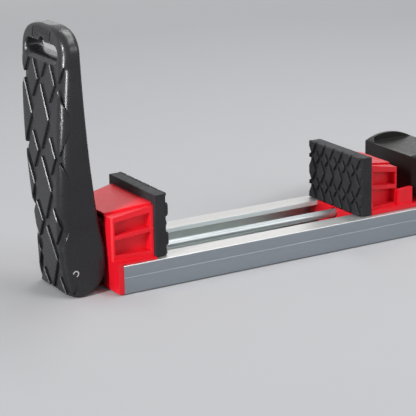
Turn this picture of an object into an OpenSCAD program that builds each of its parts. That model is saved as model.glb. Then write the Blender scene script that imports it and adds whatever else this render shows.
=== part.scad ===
// Straight-edge clamp. A lipped channel rail carries a fixed jaw and a tall hand lever at one
// end, and a sliding jaw with a lock lever. A draw rod in the channel joins the two levers.
// X runs along the rail, away from the hand lever. Y runs across it and Z points up.
// The origin is the middle of the rail's flat underside, the face that guides a saw.
// The clamp is drawn with the hand lever upright, which is clamped, and the lock lever down.

/* [Rail] */
// Length of the rail
rail_l = 820; // [640:10:1400]
// Width of the rail
rail_w = 80; // [76:1:90]
// Height of the rail
rail_h = 21.5; // [21:0.1:24]
// Thickness of the rail's floor
floor_t = 3.2; // [2.4:0.1:3.6]
// Thickness of the rail's side walls
side_t = 3.2; // [2.4:0.1:4]
// Thickness of the two top lips
lip_t = 3.6; // [3:0.1:4]
// Width of the opening between the lips
slot_w = 48; // [46:0.5:52]
// Height of the fine groove on each side
side_groove_z = 12.4; // [8:0.1:14]
// Width of that groove
side_groove_w = 0.7; // [0.4:0.1:1.2]

/* [Draw rod] */
// Diameter of the rod
rod_d = 6.35; // [5.8:0.05:6.6]
// Height of the rod's middle above the underside
rod_z = 17.2; // [16.8:0.1:17.4]
// Stroke of the rod as the hand lever turns through its range
rod_stroke = 8.7; // [6:0.1:9]
// Distance from the rod's far end to the rail's end, with the clamp shut
rod_end_gap = 12; // [11:0.5:16]

/* [Jaws] */
// Gap between the gripping faces
jaw_gap = 170; // [60:1:300]
// Width of a grip pad
pad_w = 72; // [70:0.5:76]
// Thickness of a grip pad
pad_t = 11.2; // [10:0.1:12]
// Height of a grip pad's top edge above the underside
pad_top_z = 68.9; // [66:0.1:72]
// Height of a grip pad's bottom edge above the rail
pad_lift = 0.6; // [0.4:0.1:2]
// Depth of the grooves on a gripping face
pad_groove = 1.6; // [0.8:0.1:2.2]
// Length of the fixed jaw on the rail
fixed_jaw_l = 28.3; // [28:0.1:34]
// Length of the sliding jaw behind its pad
slide_jaw_l = 29.1; // [28:0.1:34]
// Height of a jaw at its pad
jaw_pad_z = 63.2; // [60:0.1:65]
// Height of a jaw at its back
jaw_back_z = 55.5; // [53:0.1:58]
// Width of a jaw at its pad
jaw_pad_w = 68; // [64:0.5:70]
// Width of a jaw at its back
jaw_back_w = 60; // [56:0.5:62]
// Depth of the hollows in a jaw's two sides
hollow_d = 6.5; // [4:0.5:9]

/* [Hand lever] */
// Height of the hand lever
lever_h = 196; // [186:1:236]
// Width of the hand lever at its top
lever_top_w = 70.5; // [64:0.5:74]
// Width at its waist
lever_waist_w = 46; // [44:0.2:52]
// Width at its foot
lever_foot_w = 56; // [52:0.5:58]
// Thickness of the hand lever at its top
lever_top_t = 12; // [10:0.1:14]
// Distance from the lever's pin to the rail's end
lever_pin_x = 31; // [30:0.1:33]
// Diameter of the lever's pin
lever_pin_d = 5; // [4.6:0.1:5.4]
// Length of the hang hole
hang_w = 52; // [44:0.5:54]
// Height of the hang hole
hang_h = 11.5; // [9:0.1:13]

/* [Lock lever] */
// Width of the lock lever
lock_w = 76; // [74:0.5:80]
// Length from the lock lever's free end to its pivot
lock_arm = 63.5; // [58:0.5:70]
// Height of the pivot above the underside
lock_pivot_z = 36; // [35.5:0.1:38]
// Diameter of the pivot pin
lock_pin_d = 6; // [5:0.1:6.4]
// Height of the lever's thumb floor
lock_floor_z = 58.3; // [57:0.1:60]
// Height of the top of its arched cheeks
lock_crown_z = 64.7; // [63:0.1:67]

/* [Hidden] */
$fn = 64;

// Colours
alloy = "#c3c9cc";
red = "#d0121c";
black = "#2a2a2c";
steel = "#9a9da0";
bronze = "#a5803c";

// Clearances
run_gap = 0.05;
slip_gap = 0.3;
free_gap = 0.5;
cut = 1;

// Places along the rail
rail_x0 = -rail_l / 2;
rail_x1 = rail_l / 2;
end_plate_t = 4.2;
jaw_x0 = rail_x0 - end_plate_t;
fixed_pad_x = rail_x0 + fixed_jaw_l;
slide_face_x = fixed_pad_x + pad_t + jaw_gap;
slide_pad_x = slide_face_x + pad_t;
slide_back_x = slide_pad_x + slide_jaw_l;
pin_x = rail_x0 - lever_pin_x;

// Rail section
in_w = rail_w - 2 * side_t;
lip_z = rail_h - lip_t;
lip_bead = 1.2;

// Channel tongue of the fixed jaw, and the carriage of the sliding jaw
tongue_w = slot_w - 2 * slip_gap;
wing_w = in_w - 2 * slip_gap;
wing_z1 = lip_z - lip_bead / 2 - slip_gap;
ledge_t = 1.5;
ledge_inset = 1;
ledge_w = rail_w - 2 * ledge_inset;

// Bush, spring and screws of the fixed jaw
pocket_d = 9.4;
bush_l = 9.6;
spring_back = 1.2;
spring_x0 = rail_x0 - spring_back;
spring_l = 9.4;
spring_wire = 0.9;
spring_turns = 6;
clip_t = 0.9;
clip_d = 8.8;
clip_groove_d = 5;
screw_d = 4;
screw_head_d = 7.6;
screw_head_t = 2.2;
screw_l = 11;
screw_y = 17;
screw_inset = 7;
screw_pitch = 14;
hex_d = 2.6;
hex_t = 1.4;

// Wear plate
wear_t = 1.2;
wear_w = 34;
wear_z0 = 2.5;
wear_h = 32;
wear_pin_d = 3.5;
wear_pin_l = 6;

// Pad pegs
peg_d = 8;
peg_l = 9;
peg_y = 12;
peg_z = 44;

// Lattice on the gripping faces: large and small diamonds in turn
lattice_x = 12.2;
lattice_z = 22.1;
lattice_y0 = 1.9;
lattice_z0 = 45.6;
large_w = 11;
large_h = 19.2;
small_w = 7.8;
small_h = 10.8;

// Jaw side hollows
frame_t = 2.6;
rib_t = 3.4;
rib_back_z = 38;
rib_rise = 4;
hollow_z0 = 27;
cap_back_w = 38;
cap_pad_w = 62;
cap_step = 1.7;
cap_root = 6;

// Hand lever: a cam whose reach falls evenly as it turns, from its face to its foot
cam_reach = lever_pin_x - end_plate_t - wear_t - slip_gap;
cam_foot = cam_reach - rod_stroke;
cam_range = 90;
cam_slope = rod_stroke / (PI / 2);
cam_steps = 12;
lever_bow_r = 950;
lever_bow_z = 97;
lever_bow_x = 11.5;
lever_edge_r = 6;
lever_inner_r = 3;
lever_arch_h = 19.5;
arch_power = 2.5;
waist_z = 48;
cam_flat_z = 33;
eye_r = 4.8;
eye_w = 12;
eye_l = 11.5;
eye_neck_h = 7.4;
slot_wall = 0.5;
pin_inner_d = 3;
hang_drop = 18.7;
hang_z = lever_h - hang_drop;
hang_bump_d = 9;
hang_bump_up = 4.6;
hang_bump_z = hang_z + hang_bump_up;
rear_wall = 4;
rear_rib = 3;
rear_cells = 4;
rear_z0 = 44;
rear_drop = 30;
rear_z1 = lever_h - rear_drop;
rear_side = 5;

// Draw rod
nut_af = 7.2;
nut_t = 3.6;
rod_x0 = pin_x + eye_l + nut_t;
rod_x1 = rail_x1 - rod_end_gap;
spigot_d = 4.8;
spigot_l = 9.5;

// Sliding jaw
base_lift = slip_gap;
base_t = 3.7;
base_w = 72;
base_z1 = rail_h + base_t;
carriage_z0 = 5;
bush_d = 9.4;
slide_bush_l = 12;
bush_inset = 3;
lug_l = 12.4;
lug_t = 4;
lug_z = 37.8;
lug_y = 33;
lock_stand = 16.4;
lock_x0 = slide_back_x + lock_stand;
pivot_x = lock_x0 + lock_arm;
tail_r = 9.6;
base_tail = 14;
base_x1 = pivot_x + base_tail;
ear_t = 5;
ear_y = 31;
ear_r = 6.6;
ear_post = 5.3;
ear_slot_z = 4.6;
tunnel_d = 8;

// Brake between the lock lever and the rod
shoe_l = 14;
shoe_w = 12;
shoe_lift = 0.4;
shoe_z0 = rod_z + shoe_lift;
cam_throw = 1;
cam_r = 9;
cam_w = 16;
shoe_z1 = lock_pivot_z - cam_r - cam_throw - slip_gap;
anvil_l = 22;
anvil_w = 16;
anvil_t = 4;
anvil_drop = 0.6;
anvil_z1 = rod_z - anvil_drop;
anvil_screw_d = 3;
anvil_screw_l = 7;
anvil_head_d = 5.4;

// Lock lever shell
lock_wall = 4;
lock_top_t = 3;
lock_foot_z = 30.5;
lock_rim_z = 60.6;
lock_crown_x = 29;
lock_fall_x = 44;
lock_scoop_x = 9.5;
pin_head_d = 9;
pin_head_t = 1.6;
clip_ring_d = 9.6;
clip_ring_t = 0.9;

// End cap
cap_t = 4;
cap_tongue = 24;
cap_screw_x = 14;

// A round bar along X from x = 0
module bar_x(d, l) {
    rotate([0, 90, 0])
        cylinder(d = d, h = l);
}

// A round bar across Y, centred
module bar_y(d, l) {
    rotate([90, 0, 0])
        cylinder(d = d, h = l, center = true);
}

// A plate of width w across Y, centred, from an outline in X and Z
module across(w) {
    rotate([90, 0, 0])
        linear_extrude(w, center = true)
            children();
}

// A plate of thickness t towards +X, from an outline in Y and Z
module along(t) {
    rotate([90, 0, 90])
        linear_extrude(t)
            children();
}

// A block from x0 to x1 and z0 to z1, centred across Y
module block(x0, x1, w, z0, z1) {
    translate([x0, -w / 2, z0])
        cube([x1 - x0, w, z1 - z0]);
}

// Rail: lipped channel with a fine groove along each side
module rail_section() {
    difference() {
        translate([-rail_w / 2, 0])
            square([rail_w, rail_h]);
        translate([-in_w / 2, floor_t])
            square([in_w, lip_z - floor_t]);
        translate([-slot_w / 2, floor_t])
            square([slot_w, rail_h]);
        for (side = [-1, 1])
            translate([side * rail_w / 2, side_groove_z])
                circle(d = side_groove_w, $fn = 4);
    }
    for (side = [-1, 1])
        translate([side * (slot_w / 2 + lip_bead / 2), lip_z])
            circle(d = lip_bead, $fn = 16);
}

module floor_screw_holes(x_list) {
    for (x = x_list, side = [-1, 1])
        translate([x, side * screw_y, 0]) {
            translate([0, 0, -cut])
                cylinder(d = screw_d + 2 * run_gap, h = screw_l + cut);
            translate([0, 0, -cut])
                cylinder(d = screw_head_d + free_gap, h = screw_head_t + cut);
        }
}

module rail() {
    color(alloy)
    difference() {
        translate([rail_x0, 0, 0])
            along(rail_l)
                rail_section();
        floor_screw_holes(fixed_screw_x);
        floor_screw_holes(end_screw_x);
    }
}

// Screws through the rail's floor, heads sunk under the guide face
module floor_screws(x_list) {
    for (x = x_list, side = [-1, 1])
        translate([x, side * screw_y, slip_gap])
            difference() {
                union() {
                    cylinder(d = screw_head_d, h = screw_head_t - slip_gap);
                    cylinder(d = screw_d, h = screw_l - slip_gap);
                }
                translate([0, 0, -cut])
                    cylinder(d = hex_d, h = hex_t + cut, $fn = 6);
            }
}

fixed_screw_x = [rail_x0 + screw_inset, rail_x0 + screw_inset + screw_pitch];
end_screw_x = [rail_x1 - cap_screw_x];

// Jaw head, from its back at x = 0 to its pad face at x = l, standing on z0
module jaw_head(l, z0) {
    pad_z = jaw_pad_z - cap_step;
    difference() {
        union() {
            intersection() {
                across(jaw_pad_w)
                    polygon([[0, z0], [l, z0], [l, pad_z], [0, jaw_back_z - slip_gap]]);
                linear_extrude(jaw_pad_z)
                    jaw_plan(l, jaw_back_w, jaw_pad_w);
            }
            intersection() {
                across(jaw_pad_w)
                    polygon([
                        [0, jaw_back_z - cap_root], [l, pad_z - cap_root],
                        [l, jaw_pad_z], [0, jaw_back_z]
                    ]);
                linear_extrude(jaw_pad_z + cut)
                    jaw_plan(l, cap_back_w, cap_pad_w);
            }
        }
        difference() {
            across(jaw_pad_w + cut)
                jaw_hollows(l, pad_z);
            linear_extrude(jaw_pad_z)
                jaw_plan(l, jaw_back_w - 2 * hollow_d, jaw_pad_w - 2 * hollow_d);
        }
    }
}

module jaw_plan(l, back_w, front_w) {
    polygon([
        [0, -back_w / 2], [l, -front_w / 2], [l, front_w / 2], [0, back_w / 2]
    ]);
}

// Outlines of the two hollows in each side, with a rising rib between them
module jaw_hollows(l, pad_z) {
    x0 = frame_t;
    x1 = l - frame_t;
    polygon([
        [x0, hollow_z0], [x1, hollow_z0],
        [x1, rib_back_z + rib_rise], [x0, rib_back_z]
    ]);
    polygon([
        [x0, rib_back_z + rib_t], [x1, rib_back_z + rib_t + rib_rise],
        [x1, pad_z - 2 * frame_t], [x0, jaw_back_z - frame_t - cut]
    ]);
}

// T-shaped tongue that fills the rail's channel from x0 to x1
module channel_tongue(x0, x1, z0, z1) {
    block(x0, x1, tongue_w, z0, z1);
    block(x0, x1, wing_w, z0, wing_z1);
}

// Two round sockets for a grip pad's pegs, opening at x
module peg_sockets(x, way) {
    for (side = [-1, 1])
        translate([x, side * peg_y, peg_z])
            rotate([0, way * 90, 0])
                translate([0, 0, -cut])
                    cylinder(d = peg_d + 2 * run_gap, h = peg_l + free_gap + cut);
}

// Fixed jaw: head, ledge, end plate and channel tongue in one moulding
module fixed_jaw() {
    color(red)
    difference() {
        union() {
            translate([jaw_x0, 0, 0])
                jaw_head(fixed_pad_x - jaw_x0, rail_h);
            block(jaw_x0, fixed_pad_x, ledge_w, rail_h, rail_h + ledge_t);
            block(jaw_x0, rail_x0, rail_w, slip_gap, rail_h + ledge_t);
            channel_tongue(rail_x0 - cut, fixed_pad_x, floor_t, rail_h + cut);
        }
        translate([jaw_x0 - cut, 0, rod_z])
            bar_x(rod_d + 2 * slip_gap, pocket_d);
        translate([spring_x0, 0, rod_z])
            bar_x(pocket_d, fixed_jaw_l * 2);
        peg_sockets(fixed_pad_x, -1);
        floor_screw_holes(fixed_screw_x);
        wear_plate_holes();
    }
}

module fixed_jaw_screws() {
    color(steel)
    floor_screws(fixed_screw_x);
}

// Diamonds of one gripping face, as an outline in Y and Z
module diamond(y, z, w, h) {
    polygon([
        [y - w / 2, z], [y, z - h / 2], [y + w / 2, z], [y, z + h / 2]
    ]);
}

module lattice() {
    for (row = [-1 : 1], col = [-3 : 3])
        diamond(lattice_y0 + (col + 1 / 2) * lattice_x, lattice_z0 + row * lattice_z,
            large_w, large_h);
    for (row = [-1 : 1], col = [-3 : 3])
        diamond(lattice_y0 + col * lattice_x, lattice_z0 + (row + 1 / 2) * lattice_z,
            small_w, small_h);
}

// Grip pad: back at x = 0, gripping face at x = pad_t, and two pegs behind
module grip_pad() {
    z0 = rail_h + pad_lift;
    block(0, pad_t - pad_groove, pad_w, z0, pad_top_z);
    translate([pad_t - pad_groove, 0, 0])
        along(pad_groove)
            intersection() {
                translate([-pad_w / 2, z0])
                    square([pad_w, pad_top_z - z0]);
                lattice();
            }
    for (side = [-1, 1])
        translate([-peg_l, side * peg_y, peg_z])
            bar_x(peg_d, peg_l + cut);
}

module fixed_grip_pad() {
    color(black)
    translate([fixed_pad_x, 0, 0])
        grip_pad();
}

// Wear plate that the hand lever's cam bears on, with two pins into the end plate
module wear_plate_holes() {
    for (side = [-1, 1])
        translate([jaw_x0 - cut, side * wear_w / 3, rod_z + wear_h / 3])
            bar_x(wear_pin_d + 2 * run_gap, wear_pin_l + cut);
}

module wear_plate() {
    color(steel)
    difference() {
        union() {
            block(jaw_x0 - wear_t, jaw_x0, wear_w, wear_z0, wear_z0 + wear_h);
            for (side = [-1, 1])
                translate([jaw_x0 - wear_t / 2, side * wear_w / 3, rod_z + wear_h / 3])
                    bar_x(wear_pin_d, wear_pin_l);
        }
        translate([jaw_x0 - wear_t - cut, 0, rod_z])
            bar_x(rod_d + 2 * slip_gap, wear_t + 2 * cut);
    }
}

// Bush that guides the rod at the fixed jaw's inner end
module rod_bush() {
    color(bronze)
    translate([fixed_pad_x - bush_l, 0, rod_z])
        difference() {
            bar_x(pocket_d, bush_l);
            translate([-cut, 0, 0])
                bar_x(rod_d + 2 * run_gap, bush_l + 2 * cut);
        }
}

// Return spring round the rod: one unbroken wire on a helix
spring_sides = 6;
spring_rings = 16;
spring_r = (pocket_d - spring_wire) / 2 - run_gap;
spring_pitch = (spring_l - spring_wire) / spring_turns;
spring_last = spring_turns * spring_rings;

function spring_point(i, j) =
    let (turn = 360 * i / spring_rings, around = 360 * j / spring_sides)
    let (r = spring_r + spring_wire / 2 * cos(around))
    [
        spring_x0 + spring_wire / 2 + spring_pitch * i / spring_rings
            + spring_wire / 2 * sin(around),
        r * cos(turn), rod_z + r * sin(turn)
    ];

module return_spring() {
    color(steel)
    polyhedron(
        points = [
            for (i = [0 : spring_last], j = [0 : spring_sides - 1]) spring_point(i, j)
        ],
        faces = concat(
            [[for (j = [0 : spring_sides - 1]) j]],
            [
                for (i = [0 : spring_last - 1], j = [0 : spring_sides - 1])
                    let (a = i * spring_sides, b = a + spring_sides)
                    let (k = (j + 1) % spring_sides)
                    each [[a + j, b + j, b + k], [a + j, b + k, a + k]]
            ],
            [[for (j = [spring_sides - 1 : -1 : 0]) spring_last * spring_sides + j]]
        )
    );
}

// End cap: closes the rail's far end and carries the rod's end
module end_cap() {
    color(black)
    difference() {
        union() {
            block(rail_x1, rail_x1 + cap_t, rail_w, slip_gap, rail_h);
            channel_tongue(rail_x1 - cap_tongue, rail_x1 + cut, floor_t, rail_h - slip_gap);
        }
        translate([rail_x1 - cap_tongue - cut, 0, rod_z])
            bar_x(rod_d + 2 * run_gap, cap_tongue + cap_t + 2 * cut);
        floor_screw_holes(end_screw_x);
    }
}

module end_cap_screws() {
    color(steel)
    floor_screws(end_screw_x);
}

// Draw rod, with a groove for its clip
module draw_rod() {
    color(steel)
    difference() {
        union() {
            translate([rod_x0, 0, rod_z])
                bar_x(rod_d, rod_x1 - rod_x0);
            translate([rod_x0 - spigot_l, 0, rod_z])
                bar_x(spigot_d, spigot_l + cut);
        }
        translate([spring_x0 + spring_l, 0, rod_z])
            difference() {
                bar_x(rod_d + cut, clip_t);
                bar_x(clip_groove_d, clip_t);
            }
    }
}

// Clip on the rod that the return spring pushes
module rod_clip() {
    color(steel)
    translate([spring_x0 + spring_l, 0, rod_z])
        difference() {
            bar_x(clip_d, clip_t);
            translate([-cut, 0, 0])
                bar_x(clip_groove_d + 2 * run_gap, clip_t + 2 * cut);
            translate([-cut, -clip_groove_d / 3, -clip_d])
                cube([clip_t + 2 * cut, clip_groove_d * 2 / 3, clip_d]);
        }
}

// Steel eye on the rod's end, which the lever's pin passes through
module rod_eye() {
    color(steel)
    difference() {
        union() {
            translate([pin_x, 0, rod_z])
                bar_y(2 * eye_r, eye_w);
            block(pin_x, pin_x + eye_l, eye_w, rod_z - eye_neck_h / 2, rod_z + eye_neck_h / 2);
        }
        translate([pin_x, 0, rod_z])
            bar_y(lever_pin_d + 2 * run_gap, eye_w + cut);
        translate([rod_x0 - spigot_l - slot_wall, 0, rod_z])
            bar_x(spigot_d + 2 * run_gap, eye_l);
    }
}

module eye_lock_nut() {
    color(steel)
    translate([pin_x + eye_l, 0, rod_z])
        difference() {
            rotate([0, 90, 0])
                rotate([0, 0, 30])
                    cylinder(d = nut_af / cos(30), h = nut_t, $fn = 6);
            translate([-cut, 0, 0])
                bar_x(spigot_d + 2 * run_gap, nut_t + 2 * cut);
        }
}

// Hand lever. Every section is a level rounded rectangle, given by its height z.
// Outer face: a long bow. Inner face: the cam, then a flat, then a long curve to the top.
function lever_out(z) =
    pin_x - lever_bow_x + lever_bow_r
        - sqrt(lever_bow_r * lever_bow_r - (z - lever_bow_z) * (z - lever_bow_z));

function cam_x(a) = cam_at(a) * cos(a) + cam_slope * sin(a);
function cam_z(a) = -cam_at(a) * sin(a) + cam_slope * cos(a);
function cam_at(a) = cam_reach - rod_stroke * a / cam_range;

// The foot's outer corner keeps inside a circle round the pin, so it clears the bench
foot_r = rod_z - slip_gap;
function foot_out(z) =
    let (drop = min(foot_r, rod_z - z))
    max(lever_out(z), pin_x - sqrt(foot_r * foot_r - drop * drop));

inner_top_x = lever_out(lever_h) + lever_top_t;
inner_flat_x = pin_x + cam_reach;
function lever_in(z) =
    let (s = (z - cam_flat_z) / (lever_h - cam_flat_z))
    inner_flat_x + (inner_top_x - inner_flat_x) * s * (curve_share - (curve_share - 1) * s);
curve_share = 1.92;

// Half of the width at height z: foot, waist, then widening to the top
function lever_half(z) =
    z < waist_z
    ? lever_waist_w / 2 + (lever_foot_w - lever_waist_w) / 2 * pow(1 - z / waist_z, 2)
    : lever_waist_w / 2 + (lever_top_w - lever_waist_w) / 2
        * sin(90 * min(1, (z - waist_z) / (hang_z - waist_z)));

// The top is an arch as seen from the front
function lever_side(z) =
    let (up = max(0, z - (lever_h - lever_arch_h)) / lever_arch_h)
    lever_half(z) * pow(1 - pow(up, arch_power), 1 / arch_power);

foot_z = rod_z - cam_foot;
cam_levels = [for (i = [cam_steps : -1 : 0]) let (a = cam_range * i / cam_steps)
    [rod_z + cam_z(a), pin_x + cam_x(a)]];
flat_levels = [[cam_flat_z, inner_flat_x]];
rise_steps = 16;
rise_levels = [
    for (i = [1 : rise_steps])
        let (z = cam_flat_z + (lever_h - lever_arch_h - cam_flat_z) * i / rise_steps)
        [z, lever_in(z)]
];
round_steps = 8;
round_levels = [
    for (i = [1 : round_steps])
        let (up = pow(sin(80 * i / round_steps), 2 / arch_power))
        let (z = lever_h - lever_arch_h * (1 - up))
        [z, lever_in(z)]
];
lever_levels = concat(cam_levels, flat_levels, rise_levels, round_levels);

corner_steps = 4;
function corner(x, y, r, a0) = [
    for (i = [0 : corner_steps])
        let (a = a0 + 90 * i / corner_steps)
        [x + r * cos(a), y + r * sin(a)]
];

function lever_ring(z, x_in) =
    let (x_out = z < rod_z ? foot_out(z) : lever_out(z))
    let (w = lever_side(z), depth = x_in - x_out)
    let (ro = min(lever_edge_r, depth * outer_share), ri = min(lever_inner_r, depth * inner_share))
    [
        for (p = concat(
            corner(x_in - ri, w - ri, ri, 0),
            corner(x_out + ro, w - ro, ro, 90),
            corner(x_out + ro, -w + ro, ro, 180),
            corner(x_in - ri, -w + ri, ri, 270)
        )) [p[0], p[1], z]
    ];
outer_share = 0.6;
inner_share = 0.2;

module lever_solid() {
    rings = [for (level = lever_levels) lever_ring(level[0], level[1])];
    n = len(rings[0]);
    last = len(rings) - 1;
    polyhedron(
        points = [for (ring = rings) each ring],
        faces = concat(
            [[for (j = [0 : n - 1]) j]],
            [
                for (i = [0 : last - 1], j = [0 : n - 1])
                    let (a = i * n, b = a + n, k = (j + 1) % n)
                    each [[a + j, b + j, b + k], [a + j, b + k, a + k]]
            ],
            [[for (j = [n - 1 : -1 : 0]) last * n + j]]
        )
    );
}

// Slot for the rod's eye, open from straight ahead down to the foot
module eye_slot() {
    w = eye_w + 2 * slot_wall;
    r = eye_r + slot_wall;
    translate([pin_x, 0, rod_z])
        bar_y(2 * r, w);
    block(pin_x, pin_x + lever_pin_x, w, -cut, rod_z + r);
    block(pin_x - eye_neck_h / 2 - slot_wall, pin_x + lever_pin_x, w, -cut, rod_z);
}

// Hang hole: a long rounded slot with a small bump for a hook
module hang_hole() {
    x0 = pin_x - lever_bow_x - cut;
    reach = (hang_w - hang_h) / 2;
    for (side = [-1, 1])
        translate([x0, side * reach, hang_z])
            bar_x(hang_h, lever_pin_x);
    block(x0, x0 + lever_pin_x, 2 * reach, hang_z - hang_h / 2, hang_z + hang_h / 2);
    translate([x0, 0, hang_bump_z])
        bar_x(hang_bump_d, lever_pin_x);
}

// Cells in the back of the lever, between ribs
module rear_cells() {
    pitch = (rear_z1 - rear_z0 + rear_rib) / rear_cells;
    for (i = [0 : rear_cells - 1]) {
        z0 = rear_z0 + pitch * i;
        z1 = z0 + pitch - rear_rib;
        w0 = lever_half(z0) - rear_side;
        w1 = lever_half(z1) - rear_side;
        intersection() {
            across(lever_top_w)
                polygon([
                    [lever_out(z0) + rear_wall, z0], [lever_out(z1) + rear_wall, z1],
                    [inner_flat_x, z1], [inner_flat_x, z0]
                ]);
            translate([pin_x - lever_bow_x, 0, 0])
                along(lever_pin_x + lever_bow_x)
                    polygon([[-w0, z0], [w0, z0], [w1, z1], [-w1, z1]]);
        }
    }
}

module hand_lever() {
    color(black)
    difference() {
        lever_solid();
        eye_slot();
        hang_hole();
        rear_cells();
        translate([pin_x, 0, rod_z])
            bar_y(lever_pin_d + 2 * run_gap, lever_top_w);
    }
}

// Hollow roll pin through the lever and the rod's eye
lever_pin_l = 2 * lever_half(rod_z);
module lever_pin() {
    color(steel)
    translate([pin_x, 0, rod_z])
        difference() {
            bar_y(lever_pin_d, lever_pin_l);
            bar_y(pin_inner_d, lever_pin_l + cut);
        }
}

// Sliding jaw: head, base plate, channel carriage, side lugs and pivot ears in one moulding
module sliding_jaw() {
    z0 = rail_h + base_lift;
    color(red)
    difference() {
        union() {
            translate([slide_back_x, 0, 0])
                mirror([1, 0, 0])
                    jaw_head(slide_jaw_l, z0);
            block(slide_pad_x, base_x1, base_w, z0, base_z1);
            channel_tongue(slide_face_x, base_x1, carriage_z0, z0);
            block(slide_pad_x, base_x1, tongue_w, carriage_z0, base_z1);
            for (side = [-1, 1])
                translate([0, side * (lug_y - lug_t / 2), 0])
                    block(slide_back_x - cut, slide_back_x + lug_l, lug_t, z0, lug_z);
            pivot_ears(z0);
        }
        translate([slide_face_x - cut, 0, rod_z])
            bar_x(tunnel_d, base_x1 - slide_face_x + 2 * cut);
        for (x = bush_places)
            translate([x, 0, rod_z])
                bar_x(bush_d, slide_bush_l);
        peg_sockets(slide_pad_x, 1);
        brake_pocket();
        translate([pivot_x, 0, lock_pivot_z])
            bar_y(lock_pin_d + 2 * run_gap, base_w);
    }
}

bush_places = [
    slide_face_x + bush_inset, pivot_x - anvil_l / 2 - bush_inset - slide_bush_l
];

module pivot_ears(z0) {
    for (side = [-1, 1])
        translate([0, side * (ear_y - ear_t / 2), 0]) {
            translate([pivot_x, 0, lock_pivot_z])
                bar_y(2 * ear_r, ear_t);
            block(pivot_x - ear_post, pivot_x + ear_post, ear_t, z0, lock_pivot_z);
        }
}

// Room for the shoe above the rod and for the anvil below it
module brake_pocket() {
    block(pivot_x - shoe_l / 2 - slip_gap, pivot_x + shoe_l / 2 + slip_gap,
        shoe_w + 2 * slip_gap, rod_z, base_z1 + cut);
    block(pivot_x - anvil_l / 2 - slip_gap, pivot_x + anvil_l / 2 + slip_gap,
        anvil_w + 2 * slip_gap, anvil_z1 - anvil_t, rod_z);
    for (side = [-1, 1])
        translate([pivot_x, side * anvil_screw_y, carriage_z0 - cut]) {
            cylinder(d = anvil_screw_d + 2 * run_gap, h = carriage_z0 + anvil_screw_l);
            cylinder(d = anvil_head_d + 2 * slip_gap, h = anvil_head_t + cut);
        }
}

anvil_screw_y = 5.6;
anvil_head_t = 3;

module sliding_grip_pad() {
    color(black)
    translate([slide_pad_x, 0, 0])
        mirror([1, 0, 0])
            grip_pad();
}

// Bushes that run on the rod at both ends of the carriage
module guide_bushes() {
    color(bronze)
    for (x = bush_places)
        translate([x, 0, rod_z])
            difference() {
                bar_x(bush_d, slide_bush_l);
                translate([-cut, 0, 0])
                    bar_x(rod_d + 2 * run_gap, slide_bush_l + 2 * cut);
            }
}

// Steel anvil under the rod, held by two screws from below
module brake_anvil() {
    color(steel)
    difference() {
        block(pivot_x - anvil_l / 2, pivot_x + anvil_l / 2, anvil_w,
            anvil_z1 - anvil_t, anvil_z1);
        translate([pivot_x - anvil_l, 0, rod_z])
            bar_x(rod_d + 2 * run_gap, 2 * anvil_l);
        for (side = [-1, 1])
            translate([pivot_x, side * anvil_screw_y, 0])
                cylinder(d = anvil_screw_d + 2 * run_gap, h = rod_z);
    }
}

module anvil_screws() {
    z0 = carriage_z0 + anvil_head_t;
    color(steel)
    for (side = [-1, 1])
        translate([pivot_x, side * anvil_screw_y, 0])
            difference() {
                union() {
                    translate([0, 0, z0 - anvil_head_t + free_gap])
                        cylinder(d = anvil_head_d, h = anvil_head_t - free_gap);
                    translate([0, 0, z0 - cut])
                        cylinder(d = anvil_screw_d, h = anvil_z1 - z0 + cut - slip_gap);
                }
                translate([0, 0, z0 - anvil_head_t])
                    cylinder(d = hex_d, h = hex_t + free_gap, $fn = 6);
            }
}

// Shoe that the lock lever's cam presses onto the rod
module brake_shoe() {
    color(steel)
    difference() {
        block(pivot_x - shoe_l / 2, pivot_x + shoe_l / 2, shoe_w, shoe_z0, shoe_z1);
        translate([pivot_x - shoe_l, 0, rod_z])
            bar_x(rod_d + 2 * run_gap, 2 * shoe_l);
    }
}

// Lock lever: outline of its side, from the free end's foot over the crown to the tail
lock_rim = [lock_x0, lock_rim_z];
lock_crown = [lock_x0 + lock_crown_x, lock_crown_z];
lock_fall = [lock_x0 + lock_fall_x, lock_floor_z + cut];
arch_steps = 12;

// A smooth curve through three points in X and Z
function arch_z(x) =
    let (a = lock_rim, b = lock_crown, c = lock_fall)
    a[1] * (x - b[0]) * (x - c[0]) / ((a[0] - b[0]) * (a[0] - c[0]))
    + b[1] * (x - a[0]) * (x - c[0]) / ((b[0] - a[0]) * (b[0] - c[0]))
    + c[1] * (x - a[0]) * (x - b[0]) / ((c[0] - a[0]) * (c[0] - b[0]));

arch = [
    for (i = [0 : arch_steps])
        let (x = lock_x0 + lock_fall_x * i / arch_steps)
        [x, arch_z(x)]
];

function tail_arc(r) = [
    for (a = [tail_a0 : -tail_step : tail_a1])
        [pivot_x + r * cos(a), lock_pivot_z + r * sin(a)]
];
tail_a0 = 62;
tail_a1 = -88;
tail_step = 15;

module lock_profile() {
    polygon(concat(
        [[lock_x0, lock_foot_z]],
        arch,
        tail_arc(tail_r),
        [[pivot_x - ear_r, lock_pivot_z - tail_r], [pivot_x - 3 * ear_r, lock_foot_z]]
    ));
}

// Hollow under the lever's top, open downward
module lock_hollow() {
    floor_z = lock_floor_z - lock_top_t;
    polygon(concat(
        [
            [lock_x0 + lock_wall, 0], [lock_x0 + lock_wall, floor_z],
            [lock_x0 + lock_fall_x - lock_top_t, floor_z]
        ],
        tail_arc(tail_r - lock_top_t + slip_gap),
        [[pivot_x, 0]]
    ));
}

// Scoop in the top, open at the falling end
module lock_scoop() {
    translate([lock_x0 + lock_scoop_x, lock_floor_z])
        square([lock_fall_x, lock_crown_z - lock_floor_z + cut]);
}

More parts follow.
